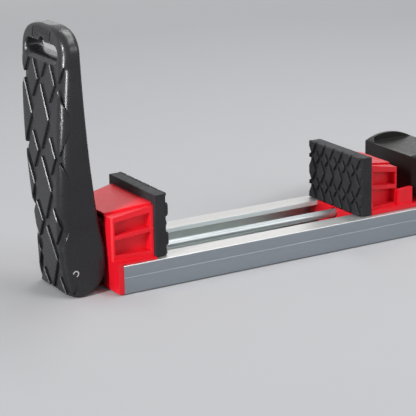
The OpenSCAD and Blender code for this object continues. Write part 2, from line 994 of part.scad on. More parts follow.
module lock_lever() {
    inner_w = lock_w - 2 * lock_wall;
    color(black)
    difference() {
        union() {
            difference() {
                across(lock_w)
                    lock_profile();
                difference() {
                    across(inner_w)
                        lock_hollow();
                    translate([pivot_x, 0, lock_pivot_z])
                        block(-lock_pin_d, lock_pin_d, cam_w, 0, lock_floor_z);
                }
                across(inner_w)
                    lock_scoop();
                ear_slots();
            }
            translate([pivot_x, 0, lock_pivot_z])
                lock_cam();
        }
        translate([pivot_x, 0, lock_pivot_z])
            bar_y(lock_pin_d + 2 * run_gap, lock_w + cut);
    }
}

// Slots in the lever's rounded tail, which the pivot ears stand in
module ear_slots() {
    for (side = [-1, 1])
        translate([0, side * (ear_y - ear_t / 2), 0])
            block(pivot_x, pivot_x + tail_r + cut, ear_t + 2 * slip_gap,
                lock_pivot_z - tail_r - cut, lock_pivot_z + ear_slot_z);
}

// Cam under the lever's web: a round lobe set off towards the shoe
module lock_cam() {
    translate([0, 0, -cam_throw])
        bar_y(2 * cam_r, cam_w);
}

module lock_pin() {
    color(steel)
    translate([pivot_x, 0, lock_pivot_z]) {
        bar_y(lock_pin_d, lock_w + 2 * pin_head_t);
        translate([0, -lock_w / 2 - pin_head_t / 2 - slip_gap / 3, 0])
            bar_y(pin_head_d, pin_head_t);
    }
}

// Ring that holds the pin at its other end
module pin_clip() {
    color(steel)
    translate([pivot_x, lock_w / 2 + clip_ring_t / 2 + slip_gap / 3, lock_pivot_z])
        difference() {
            bar_y(clip_ring_d, clip_ring_t);
            bar_y(lock_pin_d + 2 * run_gap, clip_ring_t + cut);
        }
}

rail();
fixed_jaw();
fixed_jaw_screws();
fixed_grip_pad();
wear_plate();
rod_bush();
return_spring();
end_cap();
end_cap_screws();
draw_rod();
rod_clip();
rod_eye();
eye_lock_nut();
hand_lever();
lever_pin();
sliding_jaw();
sliding_grip_pad();
guide_bushes();
brake_anvil();
anvil_screws();
brake_shoe();
lock_lever();
lock_pin();
pin_clip();
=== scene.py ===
"""Looks for a straight-edge clamp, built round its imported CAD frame. The clamp's lengths are
millimetres, which Builder turns into metres. Floor, lamps and camera are set in metres. X runs
along the rail, away from the hand lever, Y across it and Z up."""

import math

import bmesh
import bpy
from mathutils import Matrix, Vector

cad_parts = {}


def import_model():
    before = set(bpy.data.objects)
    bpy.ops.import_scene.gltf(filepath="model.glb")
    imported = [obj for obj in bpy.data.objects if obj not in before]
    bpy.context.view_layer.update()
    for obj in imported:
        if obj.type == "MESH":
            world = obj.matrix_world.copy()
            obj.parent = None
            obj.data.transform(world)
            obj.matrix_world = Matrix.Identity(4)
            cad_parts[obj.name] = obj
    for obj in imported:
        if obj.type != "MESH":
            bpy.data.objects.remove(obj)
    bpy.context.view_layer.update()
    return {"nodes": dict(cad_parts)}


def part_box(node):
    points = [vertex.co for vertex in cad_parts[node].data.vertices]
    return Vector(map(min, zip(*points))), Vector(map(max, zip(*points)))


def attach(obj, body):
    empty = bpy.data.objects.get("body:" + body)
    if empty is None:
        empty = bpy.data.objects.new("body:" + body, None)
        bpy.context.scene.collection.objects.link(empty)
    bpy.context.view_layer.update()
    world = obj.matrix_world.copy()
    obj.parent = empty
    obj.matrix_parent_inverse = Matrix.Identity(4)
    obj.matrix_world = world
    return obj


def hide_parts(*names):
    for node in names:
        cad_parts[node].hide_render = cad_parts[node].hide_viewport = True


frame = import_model()
MM = 0.001

# Places, read from the frame


def corners(node):
    """Lowest and highest corner of a CAD node."""
    low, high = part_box(node)
    return low / MM, high / MM


def middle(node):
    """Middle of a CAD node's box."""
    low, high = corners(node)
    return (low + high) / 2


rail_low, rail_high = corners("rail")
RAIL_X0, RAIL_X1 = rail_low.x, rail_high.x
RAIL_Y, RAIL_H = rail_high.y, rail_high.z
PAD_T, PAD_GROOVE = 11.2, 1.9  # a grip pad's thickness, and how deep its grooves are
fixed_low, fixed_high = corners("fixed_grip_pad")
PAD_Y, PAD_Z0, PAD_Z1 = fixed_high.y, fixed_low.z, fixed_high.z
FIXED_PAD_X = fixed_high.x - PAD_T
SLIDE_PAD_X = corners("sliding_grip_pad")[0].x + PAD_T
FIXED_BACK_X = corners("fixed_jaw")[0].x
SLIDE_L = 29.1  # the sliding jaw's head, from its pad to its back
SLIDE_BACK_X = SLIDE_PAD_X + SLIDE_L
SLIDE_END_X = corners("sliding_jaw")[1].x
LOCK_X0 = corners("lock_lever")[0].x
PIVOT_X, PIVOT_Z = middle("lock_pin").x, middle("lock_pin").z
PIN_X, ROD_Z = middle("lever_pin").x, middle("lever_pin").z
CUT = 1.0  # a cutter runs past what it cuts by this, or by a few times this
BURIED = 1.0  # about how far a shell reaches into the one that it is joined to

# Meshes


def smooth(a, b, x):
    """Rises softly from 0 at a to 1 at b."""
    t = min(1.0, max(0.0, (x - a) / (b - a)))
    return t * t * (3 - 2 * t)


def round_edges(part, width, segments=2, sharp=25.0):
    """Softens every edge that turns by more than sharp degrees."""
    edges = [
        e
        for e in part.edges
        if len(e.link_faces) == 2 and e.calc_face_angle(0) > math.radians(sharp)
    ]
    bmesh.ops.bevel(
        part,
        geom=edges,
        offset=width,
        offset_type="OFFSET",
        segments=segments,
        profile=0.5,
        affect="EDGES",
        clamp_overlap=True,
    )


class Builder:
    """Gathers shells in one mesh."""

    def __init__(self):
        self.bm = bmesh.new()

    def add(self, part, width=0.0, segments=2):
        """Takes in a shell, its edges softened by width."""
        bmesh.ops.recalc_face_normals(part, faces=part.faces)
        if width > 0:
            round_edges(part, width, segments)
        mesh = bpy.data.meshes.new("part")
        part.to_mesh(mesh)
        part.free()
        self.bm.from_mesh(mesh)
        bpy.data.meshes.remove(mesh)

    def hexa(self, low, high, width=0.5, segments=2):
        """A six-sided solid: a ring of four low corners, and the four above them."""
        part = bmesh.new()
        v = [part.verts.new(c) for c in [*low, *high]]
        sides = [(i, (i + 1) % 4, (i + 1) % 4 + 4, i + 4) for i in range(4)]
        for ring in [(3, 2, 1, 0), (4, 5, 6, 7), *sides]:
            part.faces.new([v[i] for i in ring])
        self.add(part, width, segments)

    def block(self, x0, x1, y0, y1, z0, z1, width=0.5, segments=2):
        """A box, its edges softened by width."""
        ring = [(x0, y0), (x1, y0), (x1, y1), (x0, y1)]
        low = [(x, y, z0) for x, y in ring]
        high = [(x, y, z1) for x, y in ring]
        self.hexa(low, high, width, segments)

    def wide(self, x0, x1, half, z0, z1, width=0.5, segments=2):
        """A block that reaches as far to both sides."""
        self.block(x0, x1, -half, half, z0, z1, width, segments)

    def rings(self, rings, width=0.0, segments=2):
        """A closed skin through rings of the same number of points."""
        part = bmesh.new()
        rows = [[part.verts.new(p) for p in ring] for ring in rings]
        n = len(rows[0])
        for r0, r1 in zip(rows, rows[1:]):
            for j in range(n):
                k = (j + 1) % n
                part.faces.new([r0[j], r0[k], r1[k], r1[j]])
        part.faces.new(list(reversed(rows[0])))
        part.faces.new(rows[-1])
        self.add(part, width, segments)

    def across(self, outline, y0, y1, width=0.5, segments=2):
        """An outline in X and Z swept across Y."""
        rings = [[(x, y, z) for x, z in outline] for y in (y0, y1)]
        self.rings(rings, width, segments)

    def along(self, outline, x0, x1, width=0.5, segments=2):
        """An outline in Y and Z swept along X."""
        rings = [[(x, y, z) for y, z in outline] for x in (x0, x1)]
        self.rings(rings, width, segments)

    def bar(self, start, axis, r, length, n=40):
        """A round bar from start along axis x, y or z."""
        a = "xyz".index(axis)
        b, c = (a + 1) % 3, (a + 2) % 3
        rings = []
        for s in (0.0, length):
            ring = []
            for i in range(n):
                t = 2 * math.pi * i / n
                p = list(start)
                p[a] += s
                p[b] += r * math.cos(t)
                p[c] += r * math.sin(t)
                ring.append(p)
            rings.append(ring)
        self.rings(rings)

    def object(self, name):
        """Ends the gathering: the shells become an object, in metres."""
        mesh = bpy.data.meshes.new(name)
        self.bm.to_mesh(mesh)
        self.bm.free()
        mesh.transform(Matrix.Scale(MM, 4))
        obj = bpy.data.objects.new(name, mesh)
        bpy.context.scene.collection.objects.link(obj)
        return obj


def carve(obj, tool, operation="DIFFERENCE"):
    """Takes the tool's shells out of obj, or joins them to it with UNION."""
    tool = tool.object("tool")
    mod = obj.modifiers.new("carve", "BOOLEAN")
    mod.operation = operation
    mod.solver = "EXACT"
    mod.use_self = True
    mod.object = tool
    depsgraph = bpy.context.evaluated_depsgraph_get()
    mesh = bpy.data.meshes.new_from_object(obj.evaluated_get(depsgraph))
    obj.modifiers.clear()
    old, obj.data = obj.data, mesh
    bpy.data.meshes.remove(old)
    bpy.data.objects.remove(tool)


def soften(obj, width):
    """Rounds the edges of a carved piece."""
    bm = bmesh.new()
    bm.from_mesh(obj.data)
    bmesh.ops.remove_doubles(bm, verts=bm.verts, dist=0.01 * MM)
    flat = math.radians(0.5)
    bmesh.ops.dissolve_limit(bm, angle_limit=flat, verts=bm.verts, edges=bm.edges)
    round_edges(bm, width * MM)
    bm.to_mesh(obj.data)
    bm.free()


def join(target, other):
    """Adds the shells of a Builder to target."""
    other = other.object("other")
    bm = bmesh.new()
    bm.from_mesh(target.data)
    bm.from_mesh(other.data)
    bpy.data.objects.remove(other)
    bm.to_mesh(target.data)
    bm.free()


def dress(obj, body, looks, replaced, angle=40.0):
    """Last step for a piece: shading, materials, and what it stands for."""
    for look in looks:
        obj.data.materials.append(look.material)
    obj.data.shade_smooth()
    obj.data.set_sharp_from_angle(angle=math.radians(angle))
    mod = obj.modifiers.new("normals", "WEIGHTED_NORMAL")
    mod.keep_sharp = True
    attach(obj, body)
    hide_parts(replaced)


# Materials


class Look:
    """One procedural material. Coordinates are the part's own, in millimetres."""

    def __init__(self, name, base, rough, metallic=0.0, specular=0.5):
        self.material = bpy.data.materials.new(name)
        self.material.use_nodes = True
        self.tree = self.material.node_tree
        self.bsdf = self.tree.nodes["Principled BSDF"]
        self.base = base
        s = self.bsdf.inputs
        s["Base Color"].default_value = (*base, 1)
        s["Roughness"].default_value = rough
        s["Metallic"].default_value = metallic
        s["Specular IOR Level"].default_value = specular
        where = self.tree.nodes.new("ShaderNodeTexCoord")
        self.where = self.scaled(where.outputs["Object"], (1 / MM, 1 / MM, 1 / MM))

    def scaled(self, socket, scale):
        """Coordinates multiplied by scale along X, Y and Z."""
        node = self.tree.nodes.new("ShaderNodeMapping")
        node.inputs["Scale"].default_value = scale
        self.tree.links.new(socket, node.inputs["Vector"])
        return node.outputs["Vector"]

    def noise(self, scale, detail=3.0, stretch=(1, 1, 1)):
        """Noise with features of about 1/scale mm."""
        node = self.tree.nodes.new("ShaderNodeTexNoise")
        node.inputs["Scale"].default_value = scale
        node.inputs["Detail"].default_value = detail
        self.tree.links.new(self.scaled(self.where, stretch), node.inputs["Vector"])
        return node.outputs["Fac"]

    def between(self, socket, low, high, start=0.3, end=0.7):
        """Runs from low to high as socket goes from start to end."""
        node = self.tree.nodes.new("ShaderNodeMapRange")
        node.inputs["From Min"].default_value = start
        node.inputs["From Max"].default_value = end
        node.inputs["To Min"].default_value = low
        node.inputs["To Max"].default_value = high
        self.tree.links.new(socket, node.inputs["Value"])
        return node.outputs["Result"]

    def shade(self, socket, spread):
        """Varies the base colour by spread, darker to lighter, as socket goes from 0 to 1."""
        node = self.tree.nodes.new("ShaderNodeMix")
        node.data_type = "RGBA"
        dark = [c * (1 - spread) for c in self.base]
        light = [min(1, c * (1 + spread)) for c in self.base]
        node.inputs["A"].default_value = (*dark, 1)
        node.inputs["B"].default_value = (*light, 1)
        self.tree.links.new(socket, node.inputs["Factor"])
        self.tree.links.new(node.outputs["Result"], self.bsdf.inputs["Base Color"])

    def roughness(self, socket):
        """Takes the roughness from socket."""
        self.tree.links.new(socket, self.bsdf.inputs["Roughness"])

    def bump(self, socket, strength, height):
        """Relief of a height in millimetres."""
        node = self.tree.nodes.new("ShaderNodeBump")
        node.inputs["Strength"].default_value = strength
        node.inputs["Distance"].default_value = height * MM
        self.tree.links.new(socket, node.inputs["Height"])
        self.tree.links.new(node.outputs["Normal"], self.bsdf.inputs["Normal"])


def grained(name, base, rough, specular, spread=0.12, grain=2.6, depth=0.05):
    """Moulded plastic or rubber with a fine grain and faint cloudy shade."""
    look = Look(name, base, rough, 0.0, specular)
    look.shade(look.between(look.noise(0.06, 4.0), 0, 1), spread)
    look.roughness(look.between(look.noise(0.3), rough - 0.05, rough + 0.06))
    look.bump(look.noise(grain, 2.0), 0.35, depth)
    return look


def metal(name, base, rough, stretch=(1, 1, 1), line=3.0, spread=0.06, metallic=1.0):
    """Bare metal, with fine lines along the short axis of stretch."""
    look = Look(name, base, rough, metallic)
    lines = look.noise(line, 3.0, stretch)
    look.shade(look.between(lines, 0, 1), spread)
    look.roughness(look.between(look.noise(0.05, 4.0, stretch), rough - 0.05, rough + 0.08))
    look.bump(lines, 0.25, 0.02)
    return look


ALONG_X, ALONG_Y = (0.02, 1, 1), (1, 0.1, 1)
RED = grained("jaw_red", (0.66, 0.005, 0.015), 0.38, 0.38, spread=0.05, grain=2.2, depth=0.04)
LEVER = grained("lever_black", (0.011, 0.011, 0.013), 0.29, 0.40)
LOCK = grained("lock_black", (0.011, 0.011, 0.010), 0.40, 0.22)
RUBBER = grained(
    "pad_rubber_black", (0.024, 0.024, 0.027), 0.5, 0.13, spread=0.15, grain=1.8, depth=0.08
)
CAP = grained("cap_black", (0.028, 0.028, 0.030), 0.5, 0.45)
# The next four are one aluminium extrusion in four tones. The top and lips are lighter and the
# sides and inside darker, so light and shade are painted into them.
TOP_PAINTED_LIGHT = metal("rail_top_painted_light", (0.56, 0.555, 0.545), 0.42, ALONG_X, line=5.0, spread=0.04, metallic=0.65)
LIP_PAINTED_LIGHT = metal("rail_lip_painted_light", (0.78, 0.84, 0.84), 0.45, ALONG_X, line=5.0, spread=0.04, metallic=0.1)
SIDE_PAINTED_SHADE = metal("rail_side_painted_shade", (0.33, 0.365, 0.40), 0.38, ALONG_X, line=5.0)
INNER_PAINTED_SHADE = metal("rail_inner_painted_shade", (0.50, 0.54, 0.53), 0.42, ALONG_X, line=5.0)
ROD = metal("rod_bright", (0.47, 0.505, 0.515), 0.36, ALONG_X, line=4.0, metallic=0.6)
PIN = metal("pin_bright", (0.74, 0.74, 0.75), 0.25, ALONG_Y)
PLATE = metal("plate_steel", (0.50, 0.50, 0.51), 0.38, ALONG_Y)
SCREW = metal("screw_zinc", (0.62, 0.63, 0.66), 0.32)
WEAR = metal("wear_plate_dark", (0.06, 0.06, 0.065), 0.45, ALONG_Y)
SPRING = metal("spring_dark", (0.30, 0.30, 0.31), 0.35)
BRONZE = metal("bush_bronze", (0.60, 0.42, 0.20), 0.42, spread=0.12)

# CAD nodes that stay as they are, apart from their material
for node, look in {
    "draw_rod": ROD,
    "lever_pin": PIN,
    "lock_pin": PIN,
    "rod_eye": PLATE,
    "wear_plate": WEAR,
    "brake_anvil": PLATE,
    "brake_shoe": PLATE,
    "fixed_jaw_screws": SCREW,
    "end_cap_screws": SCREW,
    "anvil_screws": SCREW,
    "eye_lock_nut": SCREW,
    "return_spring": SPRING,
    "rod_clip": SPRING,
    "pin_clip": SPRING,
    "rod_bush": BRONZE,
    "guide_bushes": BRONZE,
}.items():
    shown = frame["nodes"][node]
    shown.data.materials.clear()
    shown.data.materials.append(look.material)

# Rail

SLOT_Y, LIP_T, LIP_BEAD = 24.0, 3.6, 1.2  # half the slot, its lips, and the bead under their edges
INNER_Y, FLOOR_T = 36.8, 3.2  # half the width inside, and the floor
RAIL_EDGE_R, LIP_EDGE_R = 0.7, 0.5
LINE_Z, LINE_DEEP, LINE_HALF = 12.4, 0.2, 0.2  # the fine groove along each side
SCREW_Y, SCREW_PITCH, SCREW_INSET = 17.0, 14.0, 7.0  # the screws up through the floor
SCREW_R, SCREW_HEAD_R, SCREW_HEAD_H = 2.05, 4.05, 2.2
NEAR = 0.1  # a face this near to a level counts as lying on it

# What fills the channel: its tongue in the slot, its wings under the lips, and its underside
TONGUE_Y, WING_Y, WING_Z, LOW_Z = 23.7, 36.5, 16.95, 3.25


def rounded(y, z, ty, tz, r, n=2):
    """An arc for the corner at y, z, whose centre lies towards ty, tz."""
    cy, cz = y + ty * r, z + tz * r
    turn = [math.pi / 2 * i / n for i in range(n + 1)]
    return [(cy - ty * r * math.cos(a), cz - tz * r * math.sin(a)) for a in turn]


def rail_piece():
    """The lipped channel: soft corners, a fine groove along each side, and holes for screws."""
    lip_z = RAIL_H - LIP_T
    bead_r = LIP_BEAD / 2
    bead_y = SLOT_Y + bead_r
    half = rounded(RAIL_Y, 0, -1, 1, RAIL_EDGE_R)[::-1]
    half.append((RAIL_Y, LINE_Z - LINE_HALF))
    half.append((RAIL_Y - LINE_DEEP, LINE_Z))
    half.append((RAIL_Y, LINE_Z + LINE_HALF))
    half += rounded(RAIL_Y, RAIL_H, -1, -1, RAIL_EDGE_R, 4)
    half += rounded(SLOT_Y, RAIL_H, 1, -1, LIP_EDGE_R)[::-1]
    steps = 4
    for i in range(steps + 1):
        a = math.pi * i / steps
        half.append((bead_y - bead_r * math.cos(a), lip_z - bead_r * math.sin(a)))
    half += [(INNER_Y, lip_z), (INNER_Y, FLOOR_T)]
    outline = half + [(-y, z) for y, z in reversed(half)]
    b = Builder()
    b.along(outline, RAIL_X0, RAIL_X1, 0)
    rail = b.object("rail_profile")

    holes = Builder()
    for x in (RAIL_X0 + SCREW_INSET, RAIL_X0 + SCREW_INSET + SCREW_PITCH, RAIL_X1 - SCREW_PITCH):
        for y in (-SCREW_Y, SCREW_Y):
            holes.bar((x, y, -CUT), "z", SCREW_HEAD_R, SCREW_HEAD_H + CUT, 32)
            holes.bar((x, y, -CUT), "z", SCREW_R, FLOOR_T + 2 * CUT, 32)
    carve(rail, holes)
    # Each face takes the tone for where it lies: painted light on the top and lips, painted shade
    # on the sides and inside.
    looks = [TOP_PAINTED_LIGHT, SIDE_PAINTED_SHADE, INNER_PAINTED_SHADE, LIP_PAINTED_LIGHT]
    for face in rail.data.polygons:
        c = face.center / MM
        if face.normal.z > 0.5 and c.z > lip_z:
            look = TOP_PAINTED_LIGHT
        elif abs(c.y) < SLOT_Y + LIP_EDGE_R and c.z > lip_z - NEAR:
            look = LIP_PAINTED_LIGHT
        elif abs(c.y) < INNER_Y + NEAR and c.z > FLOOR_T - NEAR:
            look = INNER_PAINTED_SHADE
        else:
            look = SIDE_PAINTED_SHADE
        face.material_index = looks.index(look)
    dress(rail, "rail_body", looks, "rail", angle=50)


rail_piece()

# Jaws

HEAD_BACK_Y, HEAD_PAD_Y = 30.0, 34.0  # a head's half width at its back and at its pad
HEAD_BACK_Z, HEAD_RISE = 55.2, 6.3  # the level of its top at the back, and its rise to the pad
FRAME_T, HOLLOW_D, HOLLOW_Z0 = 2.6, 6.5, 27.0  # the frame round the hollows, their depth and foot
RIB_Z, RIB_RISE, RIB_T = 38.0, 4.0, 3.4  # the rib between the hollows, which rises towards the pad
ROOF_Z, ROOF_RISE = 51.4, 5.0  # the top of the hollows, which rises too
PLATE_BACK_Y, PLATE_PAD_Y, PLATE_UP, PLATE_SUNK, PLATE_EDGE = 19.0, 31.0, 1.6, 5.0, 0.35
NUB_OUT, NUB_HALF, NUB_EDGE, NUB_FRAME_SHARE, NUB_END_SHARE = 0.7, 1.3, 0.4, 1.1, 0.995
EDGE, BACK_CUT = 0.5, 1.3  # a head's soft edges, and the cut of its back corners


class Jaw:
    """The head of a jaw, measured as a share u of the way from its back to its pad."""

    def __init__(self, x_back, x_pad):
        self.x_back, self.x_pad = x_back, x_pad
        self.frame = FRAME_T / abs(x_pad - x_back)

    def x(self, u):
        """Where u lies along the rail."""
        return self.x_back + (self.x_pad - self.x_back) * u

    def side(self, u):
        """Half the head's width at u."""
        return HEAD_BACK_Y + (HEAD_PAD_Y - HEAD_BACK_Y) * u

    def top(self, u):
        """The level of the head's top at u."""
        return HEAD_BACK_Z + HEAD_RISE * u

    def solid(self, b, half, low, high, width=0.0, u0=0.0, u1=1.0):
        """A solid from u0 to u1, reaching half(u) to each side, between low(u) and high(u)."""
        ring = [(u0, -1), (u1, -1), (u1, 1), (u0, 1)]
        lows = [(self.x(u), s * half(u), low(u)) for u, s in ring]
        highs = [(self.x(u), s * half(u), high(u)) for u, s in ring]
        b.hexa(lows, highs, width)

    def head(self, b, z0):
        """The whole head, with its upright back corners cut off."""
        cut = BACK_CUT / abs(self.x_pad - self.x_back)
        near = [(0, self.side(0) - BACK_CUT), (cut, self.side(cut)), (1, self.side(1))]
        plan = [(u, -y) for u, y in near] + [(u, y) for u, y in reversed(near)]
        foot = [(self.x(u), y, z0) for u, y in plan]
        roof = [(self.x(u), y, self.top(u)) for u, y in plan]
        b.rings([foot, roof])

    def hollows(self):
        """Two hollows in each side, above and below the rib."""
        c = Builder()
        u0, u1 = self.frame, 1 - self.frame
        spans = (
            (lambda u: HOLLOW_Z0, lambda u: RIB_Z + RIB_RISE * u),
            (lambda u: RIB_Z + RIB_T + RIB_RISE * u, lambda u: ROOF_Z + ROOF_RISE * u),
        )
        for low, high in spans:
            for side in (-1, 1):
                ring = [(u0, 0), (u1, 0), (u1, 1), (u0, 1)]
                lows, highs = [], []
                for u, out in ring:
                    y = side * (self.side(u) + (2 * CUT if out else -HOLLOW_D))
                    lows.append((self.x(u), y, low(u)))
                    highs.append((self.x(u), y, high(u)))
                c.hexa(lows, highs, 0)
        return c

    def trim(self):
        """The raised top plate, and the rib's nub on the frame at the pad."""

        def plate_side(u):
            return PLATE_BACK_Y + (PLATE_PAD_Y - PLATE_BACK_Y) * u

        def nub_side(u):
            return self.side(u) + NUB_OUT

        b = Builder()
        self.solid(
            b,
            plate_side,
            lambda u: self.top(u) - PLATE_SUNK,
            lambda u: self.top(u) + PLATE_UP,
            PLATE_EDGE,
        )
        nub_z = RIB_Z + RIB_RISE + RIB_T / 2
        self.solid(
            b,
            nub_side,
            lambda u: nub_z - NUB_HALF,
            lambda u: nub_z + NUB_HALF,
            NUB_EDGE,
            1 - NUB_FRAME_SHARE * self.frame,
            NUB_END_SHARE,
        )
        return b


LEDGE_IN, LEDGE_T, END_CLEAR, FILL_EDGE = 1.0, 1.5, 0.3, 0.3
POCKET_DEEP, POCKET_Y, POCKET_Z0, POCKET_Z1 = 1.6, 16.0, 36.5, 52.0
ROD_HOLE_R, ROD_HOLE_L, BUSH_R, BUSH_L, BUSH_IN = 3.5, 1.5, 4.7, 40.0, 1.2


def fixed_jaw_piece():
    """The fixed jaw's head on its ledge and end plate, with a pocket behind the hand lever."""
    jaw = Jaw(FIXED_BACK_X, FIXED_PAD_X)
    b = Builder()
    jaw.head(b, RAIL_H - BURIED / 2)
    body = b.object("fixed_jaw_moulding")
    foot = Builder()
    foot.wide(FIXED_BACK_X, FIXED_PAD_X, RAIL_Y - LEDGE_IN, RAIL_H, RAIL_H + LEDGE_T, 0)
    carve(body, foot, "UNION")
    plate = Builder()
    plate.wide(FIXED_BACK_X, RAIL_X0, RAIL_Y, END_CLEAR, RAIL_H + LEDGE_T, 0)
    carve(body, plate, "UNION")
    carve(body, jaw.hollows())
    pocket = Builder()
    x0, x1 = FIXED_BACK_X - 5 * CUT, FIXED_BACK_X + POCKET_DEEP
    pocket.wide(x0, x1, POCKET_Y, POCKET_Z0, POCKET_Z1, 0)
    carve(body, pocket)
    soften(body, EDGE)
    low = Builder()
    x0 = RAIL_X0 - BURIED
    low.wide(x0, FIXED_PAD_X, TONGUE_Y, LOW_Z, RAIL_H + BURIED, FILL_EDGE)
    low.wide(x0, FIXED_PAD_X, WING_Y, LOW_Z, WING_Z, FILL_EDGE)
    join(body, low)
    hole = Builder()
    hole.bar((FIXED_BACK_X - 2 * CUT, 0, ROD_Z), "x", ROD_HOLE_R, ROD_HOLE_L + 2 * CUT)
    hole.bar((RAIL_X0 - BUSH_IN, 0, ROD_Z), "x", BUSH_R, BUSH_L)
    carve(body, hole)
    join(body, jaw.trim())
    dress(body, "rail_body", [RED], "fixed_jaw")


EAR_Y0, EAR_Y1, EAR_R, EAR_POST, EAR_KNEE, EAR_EDGE = 26.0, 31.0, 6.6, 5.3, 5.0, 0.4
LUG_Y0, LUG_Y1, LUG_L, LUG_BACK_Z, LUG_SLOPE = 29.0, 33.0, 12.4, 37.2, 0.06
BASE_Y, BASE_Z0, BASE_Z1 = 36.0, 21.8, 25.2
CARRIAGE_Z0, CARRIAGE_EDGE, CARRIAGE_UP = 5.0, 0.4, 0.4
NECK_SUNK, NECK_CLEAR, TUNNEL_R = 1.5, 0.2, 4.0
ANVIL_X, ANVIL_Y, ANVIL_DEEP = 11.3, 8.3, 4.6
SHOE_X, SHOE_Y, SHOE_SUNK = 7.3, 6.3, 0.2
ANVIL_SCREW_Y, ANVIL_SCREW_R, ANVIL_SCREW_L = 5.6, 1.6, 10.0
ANVIL_HEAD_R, ANVIL_HEAD_L = 3.0, 3.0


def sliding_jaw_piece():
    """The sliding jaw: its head and base plate on a carriage, with lugs, and ears at the pivot."""
    jaw = Jaw(SLIDE_BACK_X, SLIDE_PAD_X)
    b = Builder()
    jaw.head(b, BASE_Z0)
    body = b.object("sliding_jaw_moulding")
    base = Builder()
    base.wide(SLIDE_PAD_X, SLIDE_END_X, BASE_Y, BASE_Z0, BASE_Z1, 0)
    carve(body, base, "UNION")
    lugs = Builder()
    for side in (-1, 1):
        ring = [(-BURIED, LUG_Y0), (LUG_L, LUG_Y0), (LUG_L, LUG_Y1), (-BURIED, LUG_Y1)]
        low = [(SLIDE_BACK_X + x, side * y, BASE_Z1 - BURIED) for x, y in ring]
        high = [(SLIDE_BACK_X + x, side * y, LUG_BACK_Z + LUG_SLOPE * x) for x, y in ring]
        lugs.hexa(low, high, 0)
    carve(body, lugs, "UNION")
    carve(body, jaw.hollows())
    soften(body, EDGE)

    low = Builder()
    face_x = SLIDE_PAD_X - PAD_T
    low.wide(face_x, SLIDE_END_X, TONGUE_Y, CARRIAGE_Z0, RAIL_H + CARRIAGE_UP, CARRIAGE_EDGE)
    low.wide(face_x, SLIDE_END_X, WING_Y, CARRIAGE_Z0, WING_Z, CARRIAGE_EDGE)
    z0, z1 = RAIL_H - NECK_SUNK, BASE_Z1 - NECK_CLEAR
    low.wide(SLIDE_PAD_X, SLIDE_END_X, TONGUE_Y, z0, z1, CARRIAGE_EDGE)
    join(body, low)
    c = Builder()
    c.bar((face_x - 2 * CUT, 0, ROD_Z), "x", TUNNEL_R, SLIDE_END_X - face_x + 4 * CUT)
    c.wide(PIVOT_X - ANVIL_X, PIVOT_X + ANVIL_X, ANVIL_Y, ROD_Z - ANVIL_DEEP, ROD_Z, 0)
    c.wide(PIVOT_X - SHOE_X, PIVOT_X + SHOE_X, SHOE_Y, ROD_Z - SHOE_SUNK, BASE_Z1 + 2 * CUT, 0)
    for y in (-ANVIL_SCREW_Y, ANVIL_SCREW_Y):
        start = (PIVOT_X, y, CARRIAGE_Z0 - 2 * CUT)
        c.bar(start, "z", ANVIL_HEAD_R, ANVIL_HEAD_L + 2 * CUT, 24)
        c.bar(start, "z", ANVIL_SCREW_R, ANVIL_SCREW_L + 2 * CUT, 24)
    carve(body, c)

    ears = Builder()
    ear = []
    steps = 24
    for i in range(steps + 1):
        a = math.pi * i / steps
        ear.append((PIVOT_X + EAR_R * math.cos(a), PIVOT_Z + EAR_R * math.sin(a)))
    knee_z, foot_z = PIVOT_Z - EAR_KNEE, BASE_Z1 - 2 * BURIED
    for side, z in ((-1, knee_z), (-1, foot_z), (1, foot_z), (1, knee_z)):
        ear.append((PIVOT_X + side * EAR_POST, z))
    for side in (-1, 1):
        ears.across(ear, side * EAR_Y0, side * EAR_Y1, EAR_EDGE)
    join(body, ears)
    join(body, jaw.trim())
    dress(body, "sliding_jaw_body", [RED], "sliding_jaw")


fixed_jaw_piece()
sliding_jaw_piece()

# Grip pads

LARGE, SMALL = (5.25, 9.1), (3.65, 5.1)  # half sizes of the diamond studs
PITCH_Y, PITCH_Z = 12.2, 22.1
PATTERN_Y, PATTERN_Z = 1.9, 45.6  # the middle of their pattern
STUD_EDGE, STUD_SUNK, STUD_SPREAD, STUD_CLEAR, PAD_EDGE = 0.45, 0.4, 0.2, 0.1, 0.8
STUD_ROWS, STUD_COLUMNS = 1, 3  # how many lie to each side of the middle one
PEG_Y, PEG_Z, PEG_R, PEG_L = 12.0, 44.0, 3.95, 9.0  # the pegs that hold a pad to its jaw


def clipped(points, nx, ny, limit):
    """The part of a convex outline where nx * x + ny * y is at least limit."""
    out = []
    for i, p in enumerate(points):
        q = points[(i + 1) % len(points)]
        a, b = nx * p[0] + ny * p[1] - limit, nx * q[0] + ny * q[1] - limit
        if a >= 0:
            out.append(p)
        if a * b < 0:
            t = a / (a - b)
            out.append((p[0] + t * (q[0] - p[0]), p[1] + t * (q[1] - p[1])))
    return out


def diamond(y, z, w, h, low, high, inset):
    """Diamond of half sizes w and h, kept between low and high, and moved in by inset."""
    k = 1 - inset * math.hypot(w, h) / (w * h)
    points = [(y - w * k, z), (y, z - h * k), (y + w * k, z), (y, z + h * k)]
    for nx, ny, limit in (
        (1, 0, low[0] + inset),
        (0, 1, low[1] + inset),
        (-1, 0, inset - high[0]),
        (0, -1, inset - high[1]),
    ):
        points = clipped(points, nx, ny, limit)
    return points


